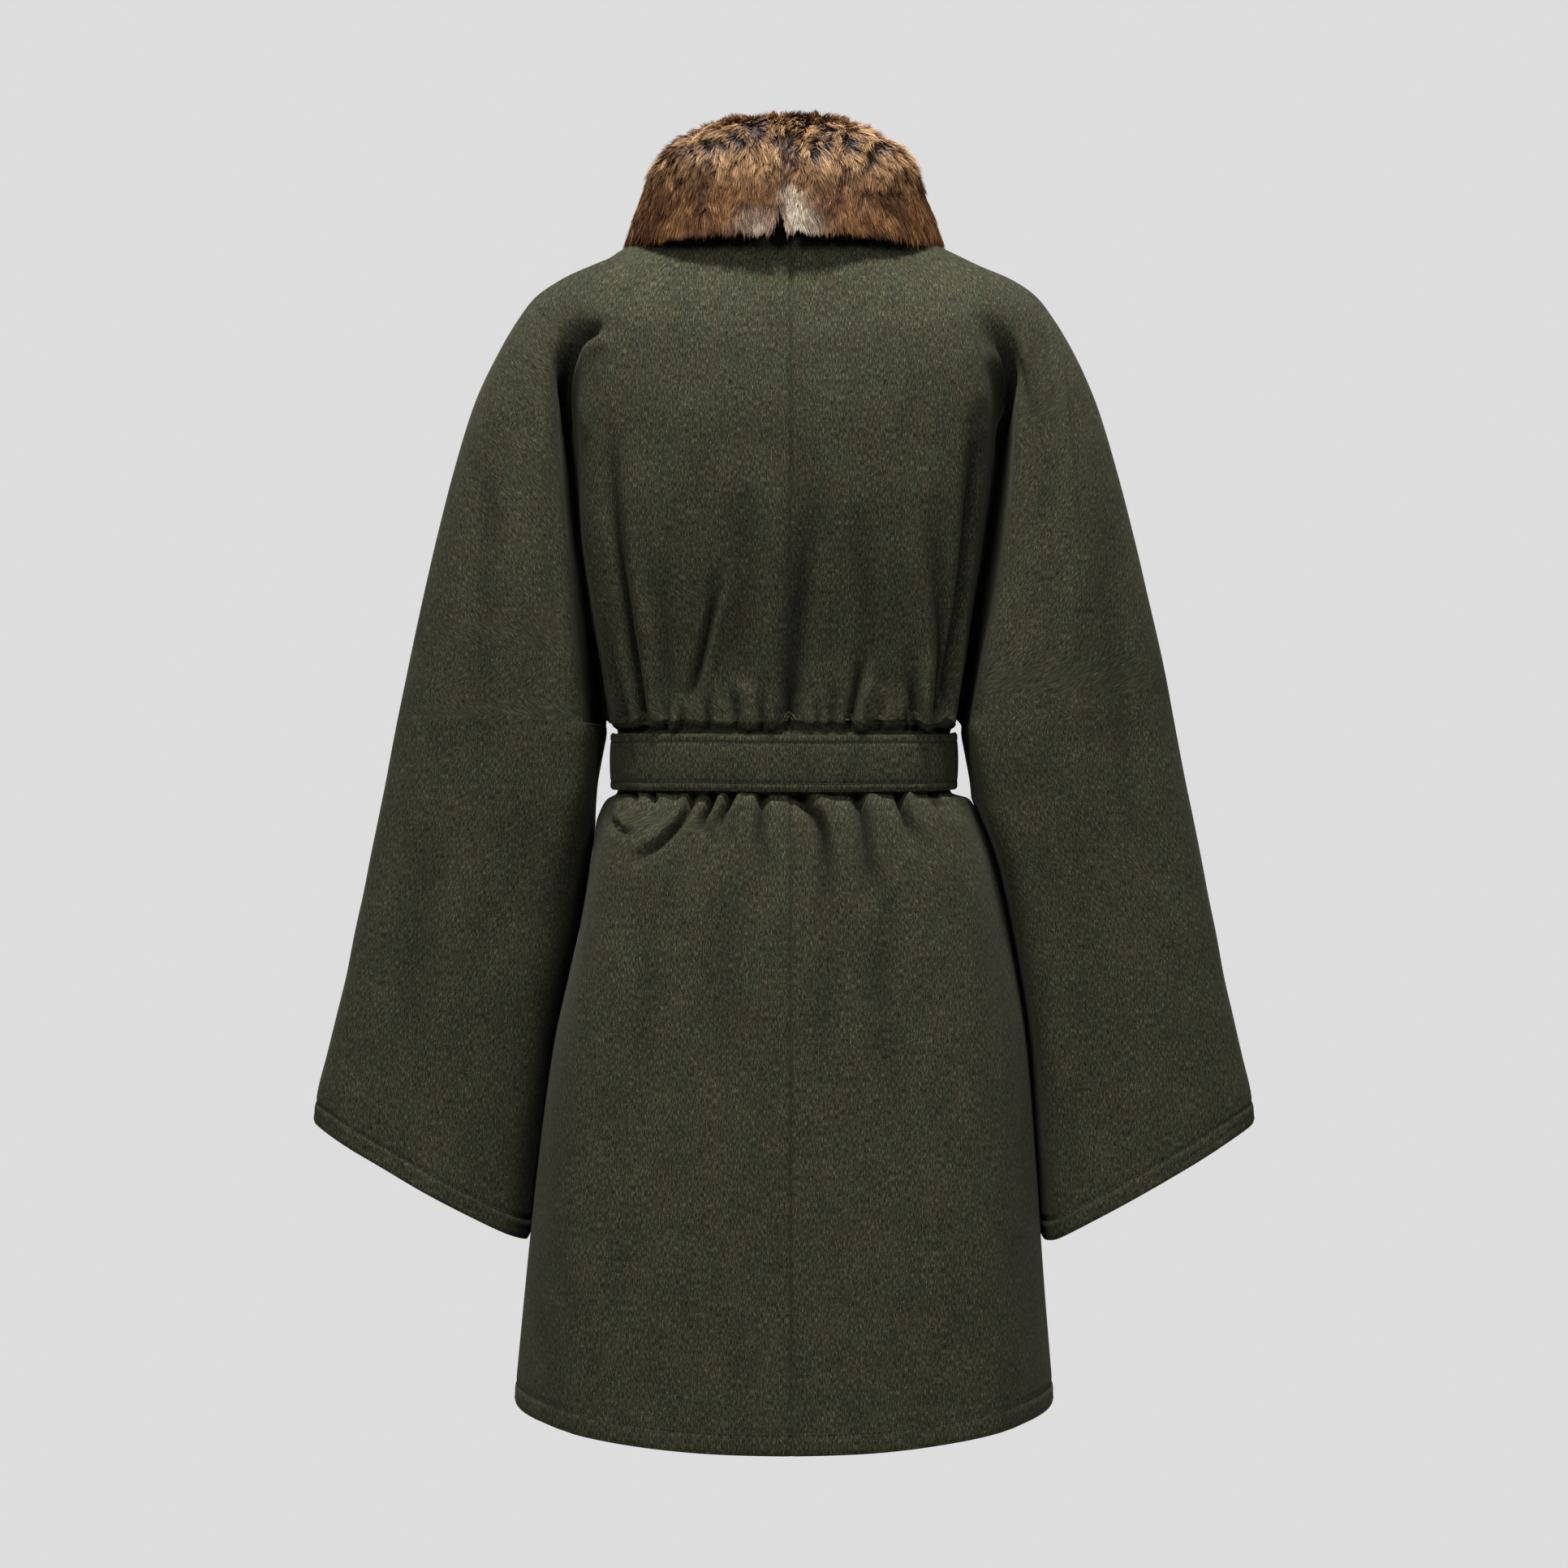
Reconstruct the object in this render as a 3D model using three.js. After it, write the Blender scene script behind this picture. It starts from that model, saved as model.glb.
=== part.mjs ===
// Belted loden cape-coat: cape sleeves cut in one with the body, fur collar, self-fabric belt.
// Millimetres, +Z up. The wearer's back faces -Y and the wearer's right side is +X.
// The origin lies between the shoulders at the base of the neck.
import * as THREE from "three";

// ---- driving sizes -------------------------------------------------------------------------
const WALL = 2.5;
const SEAM_GAP = 0.3;
const BACK_SEAM_X = 5;
const LAP_REACH = 45;
const LAP_REACH_SHARE = 0.42;
const LAP_LIFT = 3.8;
const ARM_PITCH = 22;
const BELT_THICKNESS = 4;
const BELT_HEIGHT = 41;
const BELT_CLEARANCE = 1.2;
const BELT_LEVEL = -382.5;
const BELT_SAG = 2.5;
const BELT_OVER_END_X = -58;
const BELT_UNDER_END_X = 44;
const FUR_THICKNESS = 15;
const FUR_SPLIT_GAP = 0.8;
const COLLAR_WALL = 2;
const COLLAR_GAP = 1.1;
const CROTCH_ROW = 13;
const SLEEVE_CLEARANCE = 1.6;

// Columns of one grid row: how many strips lie between the centre line, the body's side fold,
// the armpit valley, the sleeve's inner fold and the overarm seam.
const BACK_STRIPS = { body: 8, bodyWall: 3, sleeveWall: 2, sleeve: 6 };
const FRONT_STRIPS = { body: 6, bodyWall: 2, sleeveWall: 2, sleeve: 5 };

// ---- section tables ------------------------------------------------------------------------
// Sections from the neck line down to the underarm point, back half, sizes from the centre line.
// zc, zo: height at the centre line and at the overarm; xo: overarm half width; yc: centre depth;
// xb, yb: body side fold; xv, yv: valley bottom; vw, vt: its width and tilt;
// xs, ys: sleeve inner fold; xa, ya: sleeve back; yk: depth of the overarm rounding;
// db, ds, do: how far the side fold, the inner fold and the overarm of the right side stand off
// those of the left side, halved.
const UPPER_COLUMNS = ["zc", "zo", "xo", "yc", "xb", "yb", "xv", "yv", "vw", "vt",
  "xs", "ys", "xa", "ya", "yk", "db", "ds", "do"];
const UPPER = readTable(UPPER_COLUMNS, [
  [4, 16, 70, -61, 33, -56, 45, -47, 8, 6, 55, -36, 64, -24, -11, 0, 0, 0],
  [-16, 4, 95, -77, 46, -72, 61, -61, 9, 6.5, 74, -48, 85, -34, -16, 0, 0, 0],
  [-36, -6, 118, -88, 60, -83, 80, -70, 9, 7, 95, -56, 108, -40, -20, 0, 0, 0],
  [-52, -18, 138.4, -97, 78, -92, 102, -77, 9, 7, 120, -62, 134, -44, -24, 0, 0, 3.2],
  [-66, -30, 165.3, -103, 98, -99, 124, -82, 8, 7, 144, -66, 160, -48, -28, 0, 0, 3],
  [-80, -42, 183.5, -108, 116, -104, 140, -82, 8, 6, 159, -67, 176, -50, -30, 0, 0, 1.8],
  [-98, -60, 197.2, -112, 130, -106, 151, -74, 7, 4, 168, -70, 188, -56, -34, 0, 1, 1.6],
  [-118, -84, 211, -115, 139, -107, 157, -60, 7, 3, 170, -74, 198, -62, -40, 0, 1, 1.6],
  [-144, -120, 227.4, -117, 144, -106, 158, -42, 6, 2, 168, -75, 206, -72, -46, 0, 2, 1.1],
  [-184, -168, 242.2, -116, 144, -104, 154, -27, 6, 0, 165, -74, 208, -82, -52, -1, 2, 1],
  [-226, -216, 254.6, -112, 141, -100, 150, -18, 6, 0, 160, -73, 210, -88, -56, -4, 2, 1.1],
  [-270, -264, 265.8, -106, 134.5, -95, 143.5, -12, 6, 0, 154, -72, 212, -92, -60, -3, 0, 1.2],
  [-314, -312, 276.5, -101, 127.5, -90, 137, -8, 6, 0, 147, -71, 214, -94, -62, 1, -3.5, 1.6],
  [-355, -355, 285.2, -98.6, 122.5, -85.5, 129.6, -3, 5, 0, 142.5, -70, 216, -95, -63, 2, -5.5, 1.2],
]);

// Skirt sections below the underarm point. xs: half width at the side seam, yk: side rounding,
// dx: how far the right side stands off the left side, halved.
const SKIRT_COLUMNS = ["zc", "zs", "xs", "yc", "xb", "yb", "yk", "dx"];
const SKIRT = readTable(SKIRT_COLUMNS, [
  [-358.5, -358.3, 125.2, -96.5, 112, -83, -34, 0],
  [-362, -361, 122.3, -92.5, 108, -79, -34, 0],
  [-408, -405, 122.3, -92.5, 108, -79, -34, 0],
  [-415, -411, 133, -99.5, 114, -85, -36, 3],
  [-428, -424, 140, -105.5, 121, -90, -38, 3.2],
  [-458, -454, 147.8, -113, 129, -96, -41, 6.5],
  [-512, -506, 157.8, -120, 138, -102, -45, 7.8],
  [-600, -592, 174, -128, 148, -110, -53, 5],
  [-690, -680, 183, -136, 153, -118, -60, 2.3],
  [-780, -768, 190.5, -143, 157, -125, -66, 0.6],
  [-874, -852, 198, -150, 161, -131, -70, 0],
]);

// Sleeve sections below the underarm point. zi, zo: height at the inner seam and the overarm,
// xi, xo: their distances from the centre line (xi is at least clear of the skirt),
// cut: rounding of the inner fold, ds, do: side differences of inner fold and overarm, halved.
const SLEEVE_COLUMNS = ["zi", "zo", "xi", "xo", "xs", "ys", "xa", "ya", "yk", "cut",
  "ds", "do"];
const SLEEVE = readTable(SLEEVE_COLUMNS, [
  [-362, -372, 131.6, 288.5, 142, -70, 217, -95, -63, 9, -5, 1.2],
  [-380, -397, 134.8, 293.3, 143, -69, 219, -96, -64, 10, -4, 1.3],
  [-404, -424, 138.7, 298.9, 146, -68, 222, -97, -65, 11, -2, 1.4],
  [-430, -452, 140, 304.7, 152.5, -68, 226, -98, -66, 13, -4, 1.3],
  [-462, -480, 140, 310.1, 163.7, -69, 231, -99, -68, 16, -2.7, 1.2],
  [-498, -510, 150, 316.5, 173, -72, 238, -100, -70, 20, -3, 1],
  [-540, -540, 150, 322.2, 181, -76, 244, -101, -72, 25, -3, 0.8],
  [-585, -570, 160, 329.3, 189.5, -79, 251, -102, -74, 30, -3.5, 0.6],
  [-635, -600, 160, 336.5, 196.5, -82, 257, -103, -75, 34, -4.5, 0.3],
  [-685, -624, 170, 342.5, 201.5, -84, 263, -104, -76, 37, -5.5, 0.1],
  [-735, -647, 170, 345.9, 205.5, -86, 267, -105, -77, 40, -5.5, 0],
]);

// Centre-front line, one row for each section from the neck line to the hem.
const FRONT_LINE = readTable(["zc", "yc"], [
  [-62, 75], [-75, 84], [-88, 91], [-100, 97], [-112, 102], [-124, 107], [-138, 112],
  [-154, 117], [-176, 122], [-206, 125], [-240, 123], [-278, 117], [-318, 110], [-355, 105.5],
  [-358.5, 104], [-362, 100], [-408, 100], [-415, 106], [-428, 110], [-458, 114], [-512, 119],
  [-600, 127], [-690, 135], [-780, 142], [-868, 150],
]);

// Largest soft folds of the back: a line from (x0, z0) to (x1, z1), its half width and depth
// (a trough is positive). Both ends run out flat.
const FOLDS = readTable(["x0", "z0", "x1", "z1", "width", "depth"], [
  [-129, -180, -104, -362, 9, 6],
  [-48, -240, -70, -350, 9, 4],
  [57, -310, 48, -366, 8, 4],
  [-66, -404, -106, -458, 8, 5],
  [66, -404, 88, -520, 10, 4],
  [8, -404, 14, -520, 10, 4],
]);

// Collar stations from the centre back to the centre front, sizes of the fur's middle layer:
// f: foot inside the neck, r: roll line, e: outer edge of the fall.
const COLLAR_COLUMNS = ["fx", "fy", "fz", "rx", "ry", "rz", "ex", "ey", "ez"];
const COLLAR = readTable(COLLAR_COLUMNS, [
  [0, -50, 5.5, 0, -67, 76, 0, -92, 3],
  [26, -45.5, 8, 34, -61, 76, 46, -86, 2],
  [47, -29.5, 14.5, 62, -38, 69, 84, -60, 1],
  [59, 0, 20.5, 79, -4, 59, 108, -12, 9],
  [54.5, 26, 9.5, 78, 32, 39, 108, 30, 4],
  [42, 46, -13.5, 62, 63, 10, 92, 78.5, -37],
  [21, 60, -42, 34, 84, -16, 58, 107, -76],
  [3, 63, -56, 6, 92, -27, 12, 118, -94],
]);
const COLLAR_SPLIT = 0.012;
const COLLAR_STATIONS = [1, 2, 3, 4, 5, 6, 7, 8, 9, 10, 11, 12].map((k) => k / 12);
const COLLAR_STRIPS = { rise: 2, fall: 4, edge: 3 };

const LODEN = { color: 0x34362a, roughness: 0.95, metalness: 0 };
const FUR = { color: 0x3a2f27, roughness: 0.9, metalness: 0 };

// ---- small helpers -------------------------------------------------------------------------
function readTable(columns, rows) {
  return rows.map((row) => Object.fromEntries(columns.map((name, i) => [name, row[i]])));
}

function mix(a, b, t) {
  return a + (b - a) * t;
}

function smoothStep(from, to, value) {
  const t = Math.min(1, Math.max(0, (value - from) / (to - from)));
  return t * t * (3 - 2 * t);
}

// Path through a polygon whose corners are rounded, as dense points with running length.
function roundedPath(corners) {
  const points = [[corners[0].x, corners[0].y]];
  const marks = {};
  for (let i = 1; i < corners.length - 1; i += 1) {
    const [before, corner, after] = corners.slice(i - 1, i + 2);
    const toBefore = Math.hypot(before.x - corner.x, before.y - corner.y);
    const toAfter = Math.hypot(after.x - corner.x, after.y - corner.y);
    const a = Math.min(0.5, (corner.cut ?? Infinity) / toBefore);
    const b = Math.min(0.5, (corner.cut ?? Infinity) / toAfter);
    const start = [mix(corner.x, before.x, a), mix(corner.y, before.y, a)];
    const end = [mix(corner.x, after.x, b), mix(corner.y, after.y, b)];
    for (let step = 0; step <= 8; step += 1) {
      const t = step / 8;
      points.push([0, 1].map((axis) => (1 - t) * (1 - t) * start[axis]
        + 2 * t * (1 - t) * [corner.x, corner.y][axis] + t * t * end[axis]));
      if (step === 4 && corner.mark) marks[corner.mark] = points.length - 1;
      if (step === 8 && corner.markAfter) marks[corner.markAfter] = points.length - 1;
    }
  }
  const last = corners[corners.length - 1];
  points.push([last.x, last.y]);
  return { points, marks };
}

// Starts a path at a given distance from the centre line: past it, or short of it.
function startAt(points, start) {
  const mirrored = points.filter(([x]) => x > 0.01 && x < -start).reverse()
    .map(([x, y]) => [-x, y]);
  const edge = pointAtX(points, Math.abs(start));
  const kept = points.filter(([x]) => x > start + 0.01 || start <= 0);
  const first = start === 0 ? [] : [[start, edge]];
  return [...first, ...mirrored, ...kept];
}

function pointAtX(points, x) {
  const i = Math.max(1, points.findIndex((point) => point[0] >= x));
  const [[x0, y0], [x1, y1]] = [points[i - 1], points[i]];
  return x1 === x0 ? y0 : mix(y0, y1, (x - x0) / (x1 - x0));
}

function resample(points, count) {
  const lengths = [0];
  for (let i = 1; i < points.length; i += 1) {
    const step = Math.hypot(points[i][0] - points[i - 1][0], points[i][1] - points[i - 1][1]);
    lengths.push(lengths[i - 1] + step);
  }
  const total = lengths[lengths.length - 1];
  const out = [];
  let i = 1;
  for (let k = 0; k <= count; k += 1) {
    const wanted = total * k / count;
    while (i < points.length - 1 && lengths[i] < wanted) i += 1;
    const span = lengths[i] - lengths[i - 1];
    const t = span > 0 ? (wanted - lengths[i - 1]) / span : 0;
    out.push([mix(points[i - 1][0], points[i][0], t), mix(points[i - 1][1], points[i][1], t)]);
  }
  return out;
}

// ---- sections of the body and sleeve -------------------------------------------------------
function frontRatio(rowIndex, backDepth) {
  return FRONT_LINE[rowIndex].yc / Math.abs(backDepth);
}

function overarmX(row, side) {
  return row.xo + side * row.do;
}

// One section down to the underarm point: centre line, side fold, valley, sleeve, overarm.
function upperSection(row, rowIndex, side, front) {
  const ratio = front ? frontRatio(rowIndex, row.yc) : 1;
  const xb = row.xb + side * row.db;
  const xs = row.xs + side * row.ds;
  const xv = row.xv + side * (row.db + row.ds) / 2;
  const xo = overarmX(row, side);
  return roundedPath([
    { x: 0, y: row.yc * ratio },
    { x: xb * 0.55, y: (row.yc - 1) * ratio },
    { x: xb, y: row.yb * ratio, cut: 22, mark: "body" },
    { x: xv - row.vw / 2, y: row.yv - row.vt / 2, markAfter: "valley" },
    { x: xv + row.vw / 2, y: row.yv + row.vt / 2 },
    { x: xs, y: row.ys, cut: 12, mark: "sleeve" },
    { x: row.xa, y: row.ya },
    { x: xo, y: row.yk },
    { x: xo, y: 0 },
  ]);
}

function skirtSection(row, rowIndex, side, front) {
  const ratio = front ? frontRatio(rowIndex, row.yc) : 1;
  const xs = row.xs + side * row.dx;
  return roundedPath([
    { x: 0, y: row.yc * ratio },
    { x: row.xb * 0.55, y: (row.yc - 1) * ratio },
    { x: row.xb, y: row.yb * ratio, mark: "body" },
    { x: xs, y: row.yk },
    { x: xs, y: 0 },
  ]);
}

// Half width of the skirt at its side seam, at a given height.
function skirtHalfWidth(z, side) {
  const next = SKIRT.findIndex((row) => row.zs <= z);
  const [above, below] = [SKIRT[next - 1], SKIRT[next]];
  const t = (z - above.zs) / (below.zs - above.zs);
  return mix(above.xs + side * above.dx, below.xs + side * below.dx, t);
}

// The sleeve's inner seam hangs beside the skirt, just clear of it.
function innerSeamX(row, side) {
  return Math.max(row.xi, skirtHalfWidth(row.zi, side) + SLEEVE_CLEARANCE);
}

function sleeveSection(row, side) {
  const xs = row.xs + side * row.ds;
  const xi = innerSeamX(row, side);
  const xo = overarmX(row, side);
  return roundedPath([
    { x: xi, y: 0 },
    { x: xi, y: row.ys * 0.45 },
    { x: xs, y: row.ys, cut: row.cut, mark: "sleeve" },
    { x: row.xa, y: row.ya },
    { x: xo, y: row.yk },
    { x: xo, y: 0 },
  ]);
}

// Splits a path at its marks and spreads the wanted number of strips over each part.
function spread(path, strips, start) {
  const names = Object.keys(strips);
  const cuts = [0, ...names.slice(0, -1).map((name) => path.marks[name]),
    path.points.length - 1];
  const out = [];
  names.forEach((name, i) => {
    let part = path.points.slice(cuts[i], cuts[i + 1] + 1);
    if (i === 0 && start !== undefined) part = startAt(part, start);
    const spaced = resample(part, strips[name]);
    out.push(...(i === 0 ? spaced : spaced.slice(1)));
  });
  return out;
}

// ---- one panel: body and cape sleeve cut in one --------------------------------------------
// Where a section starts, for a section of a given half width: the back seam or the lap edge.
function panelStart(halfWidth, panel) {
  if (!panel.front) return panel.side * BACK_SEAM_X;
  return -Math.min(LAP_REACH, LAP_REACH_SHARE * halfWidth);
}

// Rows of section points. The part below the underarm point is split into skirt and sleeve.
function panelRows(panel) {
  const strips = panel.front ? FRONT_STRIPS : BACK_STRIPS;
  const centreZ = (rowIndex, backZ) => (panel.front ? FRONT_LINE[rowIndex].zc : backZ);
  const upper = UPPER.map((row, k) => {
    const path = upperSection(row, k, panel.side, panel.front);
    const marked = { body: strips.body, valley: strips.bodyWall,
      sleeve: strips.sleeveWall, overarm: strips.sleeve };
    const xo = overarmX(row, panel.side);
    return spread(path, marked, panelStart(xo, panel)).map(([x, y]) => {
      return [x, y, mix(centreZ(k, row.zc), row.zo, (x / xo) ** 2)];
    });
  });
  const skirt = SKIRT.map((row, j) => {
    const k = CROTCH_ROW + 1 + j;
    const path = skirtSection(row, k, panel.side, panel.front);
    const marked = { body: strips.body, side: strips.bodyWall };
    return spread(path, marked, panelStart(row.xs, panel)).map(([x, y]) => {
      return [x, y, mix(centreZ(k, row.zc), row.zs, (x / row.xs) ** 2)];
    });
  });
  const sleeve = SLEEVE.map((row) => {
    const path = sleeveSection(row, panel.side);
    const marked = { sleeve: strips.sleeveWall, overarm: strips.sleeve };
    const xi = innerSeamX(row, panel.side);
    const xo = overarmX(row, panel.side);
    return spread(path, marked).map(([x, y]) => {
      return [x, y, mix(row.zi, row.zo, (x - xi) / (xo - xi))];
    });
  });
  return { upper, skirt, sleeve, strips };
}

// Depth of the soft folds at a point of the back.
function foldDepth(x, z) {
  let depth = 0;
  for (const fold of FOLDS) {
    const along = [fold.x1 - fold.x0, fold.z1 - fold.z0];
    const length = Math.hypot(...along);
    const t = ((x - fold.x0) * along[0] + (z - fold.z0) * along[1]) / (length * length);
    const across = ((x - fold.x0) * along[1] - (z - fold.z0) * along[0]) / length;
    const ends = smoothStep(-0.15, 0.3, t) * (1 - smoothStep(0.8, 1.1, t));
    depth += fold.depth * ends * Math.exp(-((across / fold.width) ** 2));
  }
  return depth;
}

// Moves a section point to its place on the garment.
function place([x, y, z], panel) {
  const placedX = x * panel.side;
  let placedY = panel.front ? Math.abs(y) : y;
  if (!panel.front && y < -60) placedY += foldDepth(placedX, z);
  const arm = smoothStep(140, 230, Math.abs(x)) * smoothStep(-100, -700, z);
  placedY += ARM_PITCH * arm;
  return new THREE.Vector3(placedX, placedY, z);
}

// Open grid of a panel: points, triangles, and which way each seam point may be thickened.
function panelSurface(panel) {
  const { upper, skirt, sleeve, strips } = panelRows(panel);
  const valley = strips.body + strips.bodyWall;
  const points = [];
  const seams = [];
  const add = (row, lockFirst, lockLast) => row.map((point, c) => {
    points.push(place(point, panel));
    const first = c === 0 && lockFirst;
    const last = c === row.length - 1 && lockLast;
    seams.push(first || (last ? "y" : ""));
    return points.length - 1;
  });
  const centre = panel.front ? "" : "x";
  const upperIds = upper.map((row) => add(row, centre, true));
  const skirtIds = skirt.map((row) => add(row, centre, true));
  const sleeveIds = sleeve.map((row) => add(row, "y", true));
  const crotch = upperIds[CROTCH_ROW];
  const grids = [
    upperIds,
    [crotch.slice(0, valley + 1), ...skirtIds],
    [crotch.slice(valley), ...sleeveIds],
  ];
  const flip = (panel.side < 0) !== panel.front;
  const triangles = [];
  for (const grid of grids) {
    for (let r = 0; r < grid.length - 1; r += 1) {
      for (let c = 0; c < grid[r].length - 1; c += 1) {
        const quad = [grid[r][c], grid[r + 1][c], grid[r + 1][c + 1], grid[r][c + 1]];
        if (flip) quad.reverse();
        triangles.push([quad[0], quad[1], quad[2]], [quad[0], quad[2], quad[3]]);
      }
    }
  }
  return { points, triangles, seams };
}

// ---- cloth of a given thickness from an open surface ---------------------------------------
function surfaceNormals(points, triangles) {
  const normals = points.map(() => new THREE.Vector3());
  for (const [a, b, c] of triangles) {
    const edge1 = points[b].clone().sub(points[a]);
    const edge2 = points[c].clone().sub(points[a]);
    const face = edge1.cross(edge2);
    [a, b, c].forEach((i) => normals[i].add(face));
  }
  return normals.map((normal) => normal.normalize());
}

function boundaryEdges(triangles) {
  const seen = new Map();
  for (const [a, b, c] of triangles) {
    for (const [from, to] of [[a, b], [b, c], [c, a]]) {
      seen.set(`${from}_${to}`, [from, to]);
    }
  }
  return [...seen.values()].filter(([from, to]) => !seen.has(`${to}_${from}`));
}

// Closed body: the surface, its copy moved inwards by the wall, and rims along every edge.
function thicken({ points, triangles, seams }, wall, keep) {
  const normals = surfaceNormals(points, triangles);
  const inner = points.map((point, i) => {
    const normal = normals[i].clone();
    if (seams && seams[i]) {
      normal[seams[i]] = 0;
      normal.normalize();
    }
    const moved = point.clone().addScaledVector(normal, -wall);
    return keep ? keep(moved) : moved;
  });
  const count = points.length;
  const all = [...triangles];
  triangles.forEach(([a, b, c]) => all.push([a + count, c + count, b + count]));
  boundaryEdges(triangles).forEach(([from, to]) => {
    all.push([to, from, from + count], [to, from + count, to + count]);
  });
  return toGeometry([...points, ...inner], all);
}

function toGeometry(points, triangles) {
  const geometry = new THREE.BufferGeometry();
  const flat = points.flatMap((point) => [point.x, point.y, point.z]);
  geometry.setAttribute("position", new THREE.Float32BufferAttribute(flat, 3));
  geometry.setIndex(triangles.flat());
  geometry.computeVertexNormals();
  return geometry;
}

// ---- panels --------------------------------------------------------------------------------
// The right front lies over the left front, so its centre part is moved out.
function liftLap(surface) {
  const normals = surfaceNormals(surface.points, surface.triangles);
  surface.points.forEach((point, i) => {
    const share = 1 - smoothStep(lapInner(point.z), lapOuter(point.z), point.x);
    point.addScaledVector(normals[i], LAP_LIFT * share);
  });
}

function lapInner(z) {
  return mix(62, 38, smoothStep(-120, -40, z));
}

function lapOuter(z) {
  return mix(95, 56, smoothStep(-120, -40, z));
}

function makePanel(panel) {
  const surface = panelSurface(panel);
  if (panel.front && panel.side > 0) liftLap(surface);
  const half = SEAM_GAP / 2;
  const outward = panel.front ? 1 : -1;
  const keep = (point) => {
    const seamY = ARM_PITCH * smoothStep(140, 230, Math.abs(point.x))
      * smoothStep(-100, -700, point.z);
    if ((point.y - seamY) * outward < 0) point.y = seamY;
    return point;
  };
  const geometry = thicken(surface, WALL, keep);
  const shiftX = panel.front ? 0 : half * panel.side;
  geometry.translate(shiftX, half * outward, 0);
  return geometry;
}

// ---- belt ----------------------------------------------------------------------------------
// Waist section under the belt as a closed loop, counter-clockwise seen from above.
function waistLoop() {
  const row = SKIRT[1];
  const k = CROTCH_ROW + 2;
  const quarter = (front) => skirtSection(row, k, 0, front).points
    .map(([x, y]) => [x, front ? Math.abs(y) : y]);
  const back = quarter(false);
  const front = quarter(true);
  return [...back, ...front.slice(0, -1).reverse()];
}

// Half loop on the right from the centre back to the centre front, mirrored for the left.
function beltPath() {
  const right = waistLoop();
  const left = right.map(([x, y]) => [-x, y]).reverse();
  const under = left.filter(([x, y]) => y <= 0 || x < 0);
  const start = [];
  for (let x = BELT_UNDER_END_X; x > 0; x -= 11) start.push([x, frontDepthAt(right, x)]);
  const end = [];
  for (let x = -11; x > BELT_OVER_END_X; x -= 11) end.push([x, frontDepthAt(right, -x)]);
  end.push([BELT_OVER_END_X, frontDepthAt(right, -BELT_OVER_END_X)]);
  return [...start, ...under, ...right.slice(1), ...end];
}

function frontDepthAt(loop, x) {
  const front = loop.filter(([, y]) => y > 0).reverse();
  return pointAtX(front, x);
}

function makeBelt() {
  const path = resample(beltPath(), 66);
  const half = BELT_HEIGHT / 2;
  const loops = path.map(([x, y], i) => {
    const before = path[Math.max(0, i - 1)];
    const after = path[Math.min(path.length - 1, i + 1)];
    const length = Math.hypot(after[0] - before[0], after[1] - before[1]);
    const normal = [(after[1] - before[1]) / length, (before[0] - after[0]) / length];
    const overLap = i > path.length / 2 ? 1 - smoothStep(60, 104, x) : 0;
    const lifted = y > 0 ? (1 - smoothStep(92, 116, x)) * smoothStep(-112, -70, x) : 0;
    const top = y > 0 ? overLap * (BELT_THICKNESS + 0.6) : 0;
    const inner = BELT_CLEARANCE + (LAP_LIFT + 0.2) * lifted + top;
    const outer = inner + BELT_THICKNESS;
    const z = BELT_LEVEL - BELT_SAG * Math.min(1, Math.abs(y) / 95);
    return [[inner, half], [outer, half], [outer, -half], [inner, -half]].map(([off, up]) => {
      return new THREE.Vector3(x + normal[0] * off, y + normal[1] * off, z + up);
    });
  });
  return loftLoops(loops);
}

// Flat end of a loop as a strip zipped from its last point towards the opposite side.
function endTriangles(size) {
  const triangles = [[size - 1, 0, size - 2]];
  let low = 0;
  let high = size - 2;
  while (high - low > 1) {
    triangles.push([low, low + 1, high]);
    low += 1;
    if (high - low > 1) triangles.push([low, high - 1, high]);
    high -= 1;
  }
  return triangles;
}

// Closed body through a row of closed loops, with flat ends.
function loftLoops(loops) {
  const size = loops[0].length;
  const triangles = [];
  for (let r = 0; r < loops.length - 1; r += 1) {
    for (let c = 0; c < size; c += 1) {
      const d = (c + 1) % size;
      const [a, b] = [r * size + c, r * size + d];
      const [e, f] = [a + size, b + size];
      triangles.push([a, b, f], [a, f, e]);
    }
  }
  const end = (loops.length - 1) * size;
  for (const [a, b, c] of endTriangles(size)) {
    triangles.push([b, a, c], [a + end, b + end, c + end]);
  }
  return toGeometry(loops.flat(), triangles);
}

// ---- collar --------------------------------------------------------------------------------
// Smooth value of one collar column at a station between 0 (back) and 1 (front).
function collarAt(name, t) {
  const last = COLLAR.length - 1;
  const position = t * last;
  const i = Math.min(last - 1, Math.floor(position));
  const u = position - i;
  const value = (k) => {
    if (k < 0) return mirroredStart(name) * COLLAR[-k][name];
    return k > last ? 2 * COLLAR[last][name] - COLLAR[2 * last - k][name] : COLLAR[k][name];
  };
  const [a, b, c, d] = [value(i - 1), value(i), value(i + 1), value(i + 2)];
  return 0.5 * (2 * b + (c - a) * u + (2 * a - 5 * b + 4 * c - d) * u * u
    + (3 * b - a - 3 * c + d) * u * u * u);
}

function mirroredStart(name) {
  return name.endsWith("x") ? -1 : 1;
}

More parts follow.
